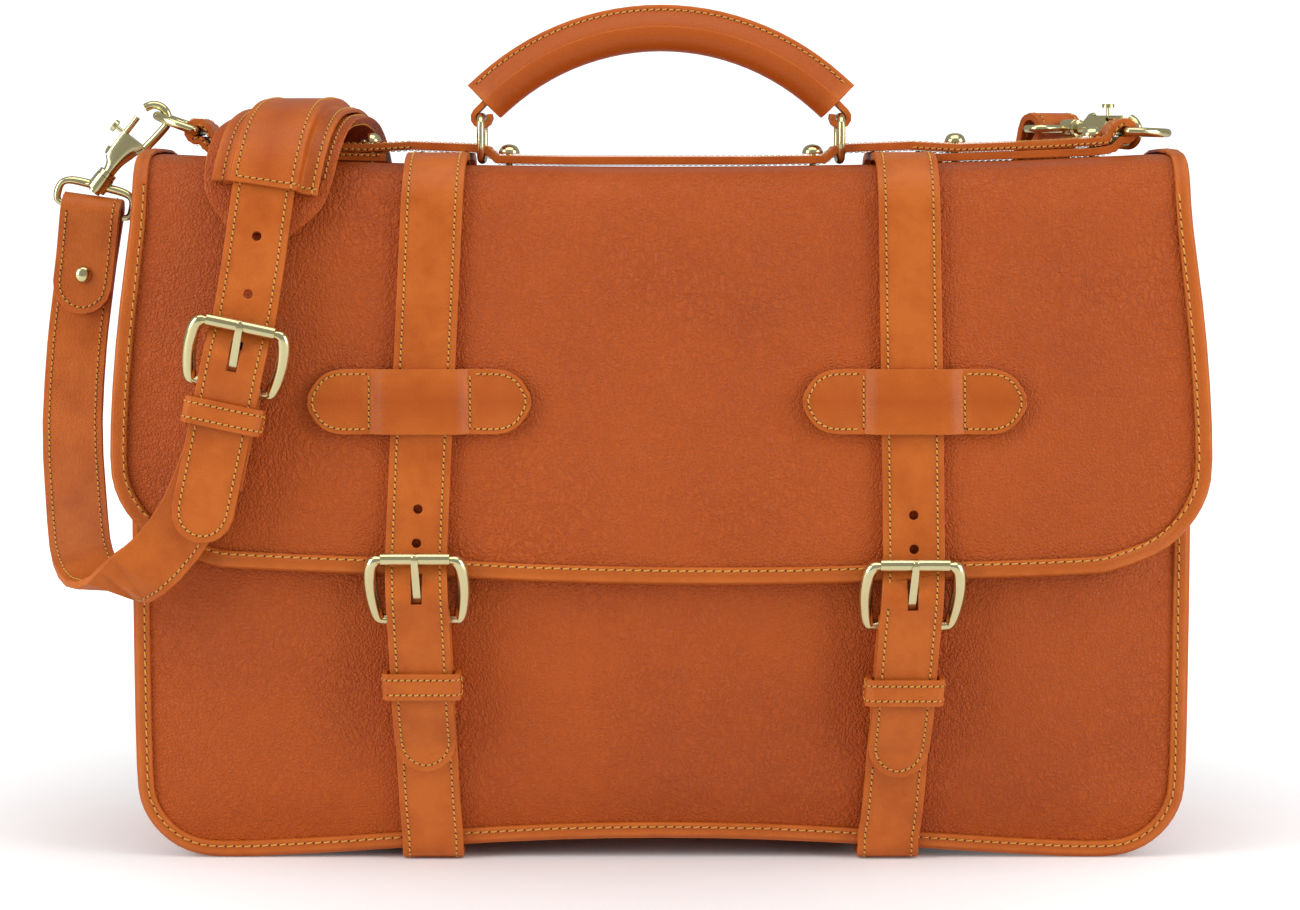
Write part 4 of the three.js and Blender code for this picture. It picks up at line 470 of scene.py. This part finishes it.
# Along a stitch: where each section is, how high and how wide, in thread sizes.
THREAD_SECTIONS = ((0.12, -0.25, 0.30), (0.30, 0.35, 0.46), (0.70, 0.35, 0.46), (0.88, -0.25, 0.30))
THREAD_ARCH = ((-1, 0), (-0.55, 0.8), (0.55, 0.8), (1, 0))
THREAD_SLANT = 0.35
# The dark discs of painted shade at the needle holes: their sides, their size in thread sizes and their lift
# off the skin.
HOLE_SIDES = 6
HOLE_SIZE = 0.62
HOLE_LIFT = 0.00006


def surface(piece):
    graph = bpy.context.evaluated_depsgraph_get()
    return BVHTree.FromObject(piece, graph)


def seam_runs(node, wide=0.006):
    """Chains of a solid's sharp edges, each with the way in over its broad face."""
    shape = welded(node)
    join_flat_faces(shape)
    tree = BVHTree.FromBMesh(shape)
    sides = {}
    for edge in shape.edges:
        if turn_between(edge) < SEAM_TURN:
            continue
        middle = (edge.verts[0].co + edge.verts[1].co) / 2
        for loop in edge.link_loops:
            start, end = loop.vert, loop.link_loop_next.vert
            inward = loop.face.normal.cross((end.co - start.co).normalized())
            found, seen, _, away = tree.find_nearest(middle + inward * wide)
            if found is None or away > SAME_FACE or seen.dot(loop.face.normal) < 0.6:
                continue
            sides[(start.index, end.index)] = (inward, loop.face.normal.copy())
    places = {vert.index: vert.co.copy() for vert in shape.verts}
    shape.free()
    following = {}
    for a, b in sides:
        following.setdefault(a, []).append(b)
    left = set(sides)
    runs = []
    while left:
        ends = {end for _, end in left}
        starts = [pair for pair in left if pair[0] not in ends]
        pair = min(starts or left)
        run = []
        while pair in left:
            left.discard(pair)
            run.append(pair)
            onward = [(pair[1], n) for n in following.get(pair[1], []) if (pair[1], n) in left]
            if not onward:
                break
            way = (places[pair[1]] - places[pair[0]]).normalized()
            onward.sort(key=lambda p: -way.dot((places[p[1]] - places[p[0]]).normalized()))
            if sides[onward[0]][1].dot(sides[pair][1]) < 0.3:
                break
            pair = onward[0]
        runs.append([(places[a], places[b], *sides[(a, b)]) for a, b in run])
    return runs


def seam_points(run, inset, pitch):
    """Even places along a run, set in from the edge."""
    rows = [(start, inward, normal) for start, _, inward, normal in run]
    rows.append(run[-1][1:])
    line = []
    for k, (at, inward, normal) in enumerate(rows):
        near = rows[max(0, k - 1)]
        side = (inward + near[1]).normalized() if (inward + near[1]).length > 0.2 else inward
        up = (normal + near[2]).normalized()
        reach = inset / max(0.5, side.dot(inward))
        line.append((at + side * reach, up))
    spots = []
    length = sum((line[k + 1][0] - line[k][0]).length for k in range(len(line) - 1))
    count = max(1, round(length / pitch))
    step = length / count
    want, gone = 0.0, 0.0
    for k in range(len(line) - 1):
        (a, up_a), (b, up_b) = line[k], line[k + 1]
        part = (b - a).length
        while part > 0 and want <= gone + part + 1e-9 and len(spots) <= count:
            t = (want - gone) / part
            spots.append((a.lerp(b, t), up_a.lerp(up_b, t).normalized()))
            want += step
        gone += part
    return spots


def on_skin(skin, at, up):
    """The place on the piece's skin under a stitch, or None where there is none that faces the same way."""
    found, normal, _, away = skin.find_nearest(at)
    if found is None or away > SKIN_REACH or normal.dot(up) < 0.2:
        return None
    return found, normal


def thread_row(points, skin, thread, hole_shades):
    """One sewn row: a short slanting thread between each two needle holes, and a dark disc of painted shade
    at each hole.
    """
    laid = [on_skin(skin, at, up) for at, up in points]
    for before, after in zip(laid, laid[1:]):
        if before is None or after is None:
            continue
        (a, up), (b, _) = before, after
        along = b - a
        if not SHORTEST_STITCH < along.length < LONGEST_STITCH:
            continue
        side = up.cross(along).normalized()
        slant = side * THREAD_SIZE * THREAD_SLANT
        first = len(thread[0])
        for t, lift, half in THREAD_SECTIONS:
            middle = a + along * t + up * THREAD_SIZE * lift + slant * (2 * t - 1)
            for across, high in THREAD_ARCH:
                thread[0].append(
                    middle + side * across * half * THREAD_SIZE + up * high * half * THREAD_SIZE)
        for ring in range(3):
            for turn in range(3):
                p = first + ring * 4 + turn
                thread[1].append((p, p + 1, p + 5, p + 4))
        # Painted shade: a dark disc lies on the skin at the needle hole.
        start = len(hole_shades[0])
        centre = a + up * HOLE_LIFT
        way = along.normalized()
        for turn in range(HOLE_SIDES):
            angle = turn * 2 * math.pi / HOLE_SIDES
            rim = way * math.cos(angle) * 0.85 + side * math.sin(angle)
            hole_shades[0].append(centre + rim * THREAD_SIZE * HOLE_SIZE)
        hole_shades[1].append(tuple(range(start, start + HOLE_SIDES)))


def stitched(node, rows):
    """Joins all sewn rows of a piece into one thread piece, with dark discs of painted shade at its needle
    holes.
    """
    skin = surface(made[node])
    thread, hole_shades = ([], []), ([], [])
    for points in rows:
        thread_row(points, skin, thread, hole_shades)
    base = len(thread[0])
    mesh = bpy.data.meshes.new(node + "_thread")
    mesh.from_pydata(
        [tuple(v) for v in thread[0] + hole_shades[0]], [],
        thread[1] + [tuple(base + i for i in face) for face in hole_shades[1]])
    mesh.materials.append(THREAD)
    mesh.materials.append(HOLE_SHADE)
    for number, face in enumerate(mesh.polygons):
        face.use_smooth = number < len(thread[1])
        face.material_index = 0 if number < len(thread[1]) else 1
    add_piece(node + "_thread", mesh, "case")


def drawn_row(node, spots, ahead):
    """A row at given places on a piece, seen along ahead."""
    skin = surface(made[node])
    row = []
    for spot in spots:
        found, normal, _, _ = skin.ray_cast(Vector(spot) - Vector(ahead) * 0.3, Vector(ahead))
        if found is not None:
            row.append((found, normal))
    return row


# The line beside the arch of a keeper: its distance from the middle and from the ends of the width.
KEEPER_LINE = 0.0208
KEEPER_INSET = 0.0026
KEEPER_STITCHES = 9


def keeper_rows(node, rows):
    """The round ends are sewn down, and a line closes each beside the arch that the strap runs under."""
    low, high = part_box(node)
    middle = (low[0] + high[0]) / 2
    kept = []
    for row in rows:
        part = []
        for at, up in row:
            if abs(at.x - middle) > KEEPER_LINE + 0.0004:
                part.append((at, up))
            elif part:
                kept.append(part)
                part = []
        kept.append(part)
    bottom, top = low[2] + KEEPER_INSET, high[2] - KEEPER_INSET
    for side in (-1, 1):
        spots = [
            (middle + side * KEEPER_LINE, (low[1] + high[1]) / 2,
             bottom + (top - bottom) * k / KEEPER_STITCHES)
            for k in range(KEEPER_STITCHES + 1)]
        kept.append(drawn_row(node, spots, (0, 1, 0)))
    return [row for row in kept if len(row) > 1]


# The handle's ridge is an arc. Its rows lie a little inside it.
RIDGE_RADIUS = 0.1165
RIDGE_ROW_RADIUS = 0.1141
RIDGE_HALF_ANGLE = 43.5
RIDGE_STITCHES = 60


def grip_rows():
    """The two rows through the ridge along the top of the handle."""
    low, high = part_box("handle_grip")
    middle = Vector(((low[0] + high[0]) / 2, (low[1] + high[1]) / 2, high[2] - RIDGE_RADIUS))
    rows = []
    for ahead in ((0, 1, 0), (0, -1, 0)):
        spots = []
        for k in range(RIDGE_STITCHES + 1):
            angle = math.radians(RIDGE_HALF_ANGLE * (2 * k / RIDGE_STITCHES - 1))
            spots.append(middle + Vector((math.sin(angle), 0, math.cos(angle))) * RIDGE_ROW_RADIUS)
        rows.append(drawn_row("handle_grip", spots, ahead))
    return rows


# The inner edge of the flap's binding is felt for from here, from one top corner round to the other.
FLAP_MIDDLE = Vector((0.018, 0, 0.215))
FLAP_FROM = 162
FLAP_TURN = 216
FURTHEST = 0.3
COARSE_STEP = 0.002
FINE_STEP = 0.0002


def flap_edge_row(inset=0.0013, pitch=0.0037):
    """The row along the binding of the flap: down the left edge, round the corners and up the right edge."""
    skin = surface(made["flap_binding"])

    def touched(at):
        found, normal, _, _ = skin.ray_cast(Vector((at.x, -1, at.z)), Vector((0, 1, 0)))
        return (found, normal) if found is not None and found.y < -0.02 else None

    def first_touch(way, reach, step):
        while reach < FURTHEST and not touched(FLAP_MIDDLE + way * reach):
            reach += step
        return reach

    inner = []
    for k in range(2 * FLAP_TURN + 1):
        angle = math.radians(FLAP_FROM + k / 2)
        way = Vector((math.cos(angle), 0, math.sin(angle)))
        near = first_touch(way, 0.04, COARSE_STEP) - COARSE_STEP
        reach = first_touch(way, near, FINE_STEP)
        if reach < FURTHEST:
            inner.append(FLAP_MIDDLE + way * reach)
    line = []
    for k in range(1, len(inner) - 1):
        along = inner[k + 1] - inner[k - 1]
        out = Vector((-along.z, 0, along.x)).normalized()
        if out.dot(inner[k] - FLAP_MIDDLE) < 0:
            out.negate()
        line.append(inner[k] + out * inset)
    row = []
    gone = want = 0.0
    for a, b in zip(line, line[1:]):
        part = (b - a).length
        while part > 0 and want <= gone + part:
            hit = touched(a.lerp(b, (want - gone) / part))
            if hit:
                row.append(hit)
            want += pitch
        gone += part
    return row


def length_of(run):
    return sum((b - a).length for a, b, _, _ in run)


def long_edges(node, runs):
    """Leaves out the holes and the prong's slot down the middle of a case strap, and its cut sides."""
    low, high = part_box(node)
    middle = (low[0] + high[0]) / 2
    return [
        run for run in runs
        if abs(run[0][3].x) < 0.6 and max(abs(a.x - middle) for a, _, _, _ in run) > 0.008]


# Each sewn piece: how far its rows lie in from the edge, their pitch, and the shortest edge that is sewn.
CASE_STRAP_ROW = (0.0029, 0.0026, 0.008)
SHOULDER_STRAP_ROW = (0.0029, 0.0026, 0.080)
LOOP_ROW = (0.0024, 0.0026, 0.020)
WELT_ROW = (0.0017, 0.0037, 0.200)
KEEPER_ROW = (0.0022, 0.0026, 0.060)
SEWN = {
    "left_case_strap": CASE_STRAP_ROW, "right_case_strap": CASE_STRAP_ROW,
    "shoulder_strap_short": SHOULDER_STRAP_ROW, "shoulder_strap_long": SHOULDER_STRAP_ROW,
    "top_strap": (0.0024, 0.0026, 0.080), "front_welt": WELT_ROW, "back_welt": WELT_ROW,
    "left_strap_loop": LOOP_ROW, "right_strap_loop": LOOP_ROW, "shoulder_strap_loop": LOOP_ROW,
    "left_flap_keeper": KEEPER_ROW, "right_flap_keeper": KEEPER_ROW,
    "shoulder_pad_sleeve": (0.0024, 0.0028, 0.060), "shoulder_pad_base": (0.0040, 0.0028, 0.100),
}
for node, (inset, pitch, shortest) in SEWN.items():
    wide = 0.0045 if node in BOUND_EDGES else 0.006
    runs = [run for run in seam_runs(node, wide) if length_of(run) > shortest]
    if node.endswith("case_strap"):
        runs = long_edges(node, runs)
    rows = [seam_points(run, inset, pitch) for run in runs]
    if node.endswith("flap_keeper"):
        rows = keeper_rows(node, rows)
    stitched(node, rows)
stitched("handle_grip", grip_rows())
stitched("flap_binding", [flap_edge_row()])


# Floor, light and camera

def studio_floor():
    mesh = bpy.data.meshes.new("studio_floor")
    mesh.from_pydata([(-6, -6, 0), (6, -6, 0), (6, 6, 0), (-6, 6, 0)], [], [(0, 1, 2, 3)])
    material, tree, shader, place = start_material("pale_floor")
    tone = use_group(tree, TONE, Vector=place, Light=(0.93, 0.93, 0.93, 1), Deep=(0.90, 0.90, 0.90, 1))
    tree.links.new(tone.outputs["Colour"], shader.inputs["Base Color"])
    shader.inputs["Roughness"].default_value = 0.7
    # Painted light: the floor glows to the camera only, more the further it lies from the case, so it reads
    # white far off and stays darker near the case.
    seen = tree.nodes.new("ShaderNodeLightPath")
    away = tree.nodes.new("ShaderNodeVectorMath")
    away.operation = "LENGTH"
    tree.links.new(place, away.inputs[0])
    further = span(tree, away.outputs["Value"], 0.10, 0.65)
    glow = maths(tree, "MULTIPLY", further, seen.outputs["Is Camera Ray"])
    tree.links.new(glow, shader.inputs["Emission Color"])
    shader.inputs["Emission Strength"].default_value = 0.9
    mesh.materials.append(material)
    floor = bpy.data.objects.new("studio_floor", mesh)
    floor.location.z = cad_box[0][2]
    bpy.context.scene.collection.objects.link(floor)


def soft_box(name, at, aim, size, power):
    light = bpy.data.lights.new(name, "AREA")
    light.shape = "RECTANGLE"
    light.size, light.size_y = size
    light.energy = power
    lamp = bpy.data.objects.new(name, light)
    lamp.location = at
    lamp.rotation_euler = (Vector(aim) - Vector(at)).to_track_quat("-Z", "Y").to_euler()
    bpy.context.scene.collection.objects.link(lamp)


studio_floor()
soft_box("top_soft_box", (0.0, -0.35, 1.5), (0.0, 0.0, 0.15), (1.6, 1.0), 8)
soft_box("left_soft_box", (-1.3, -0.7, 0.7), (0.0, 0.0, 0.15), (0.8, 1.2), 13)
soft_box("right_soft_box", (1.35, -0.65, 0.6), (0.0, 0.0, 0.15), (0.8, 1.2), 12)


def white_studio():
    """White paper behind the case, and a weaker white sky that lights it."""
    world = bpy.data.worlds.new("white_studio")
    world.use_nodes = True
    tree = world.node_tree
    sky = tree.nodes["Background"]
    sky.inputs["Color"].default_value = (1, 1, 1, 1)
    sky.inputs["Strength"].default_value = 0.36
    paper = tree.nodes.new("ShaderNodeBackground")
    paper.inputs["Strength"].default_value = 1.5
    either = tree.nodes.new("ShaderNodeMixShader")
    looked = tree.nodes.new("ShaderNodeLightPath")
    tree.links.new(looked.outputs["Is Camera Ray"], either.inputs["Fac"])
    tree.links.new(sky.outputs[0], either.inputs[1])
    tree.links.new(paper.outputs[0], either.inputs[2])
    tree.links.new(either.outputs[0], tree.nodes["World Output"].inputs["Surface"])
    bpy.context.scene.world = world


white_studio()
bpy.context.scene.view_settings.view_transform = "Standard"

camera = bpy.data.cameras.new("catalogue_camera")
camera.sensor_width = 36
camera.lens = 87.8
camera_at = Vector((0.0135, -1.374, 0.295))
camera_aim = Vector((0.0135, -0.074, 0.171))
viewer = bpy.data.objects.new("catalogue_camera", camera)
viewer.location = camera_at
viewer.rotation_euler = (camera_aim - camera_at).to_track_quat("-Z", "Y").to_euler()
bpy.context.scene.collection.objects.link(viewer)
bpy.context.scene.camera = viewer

bpy.context.view_layer.update()
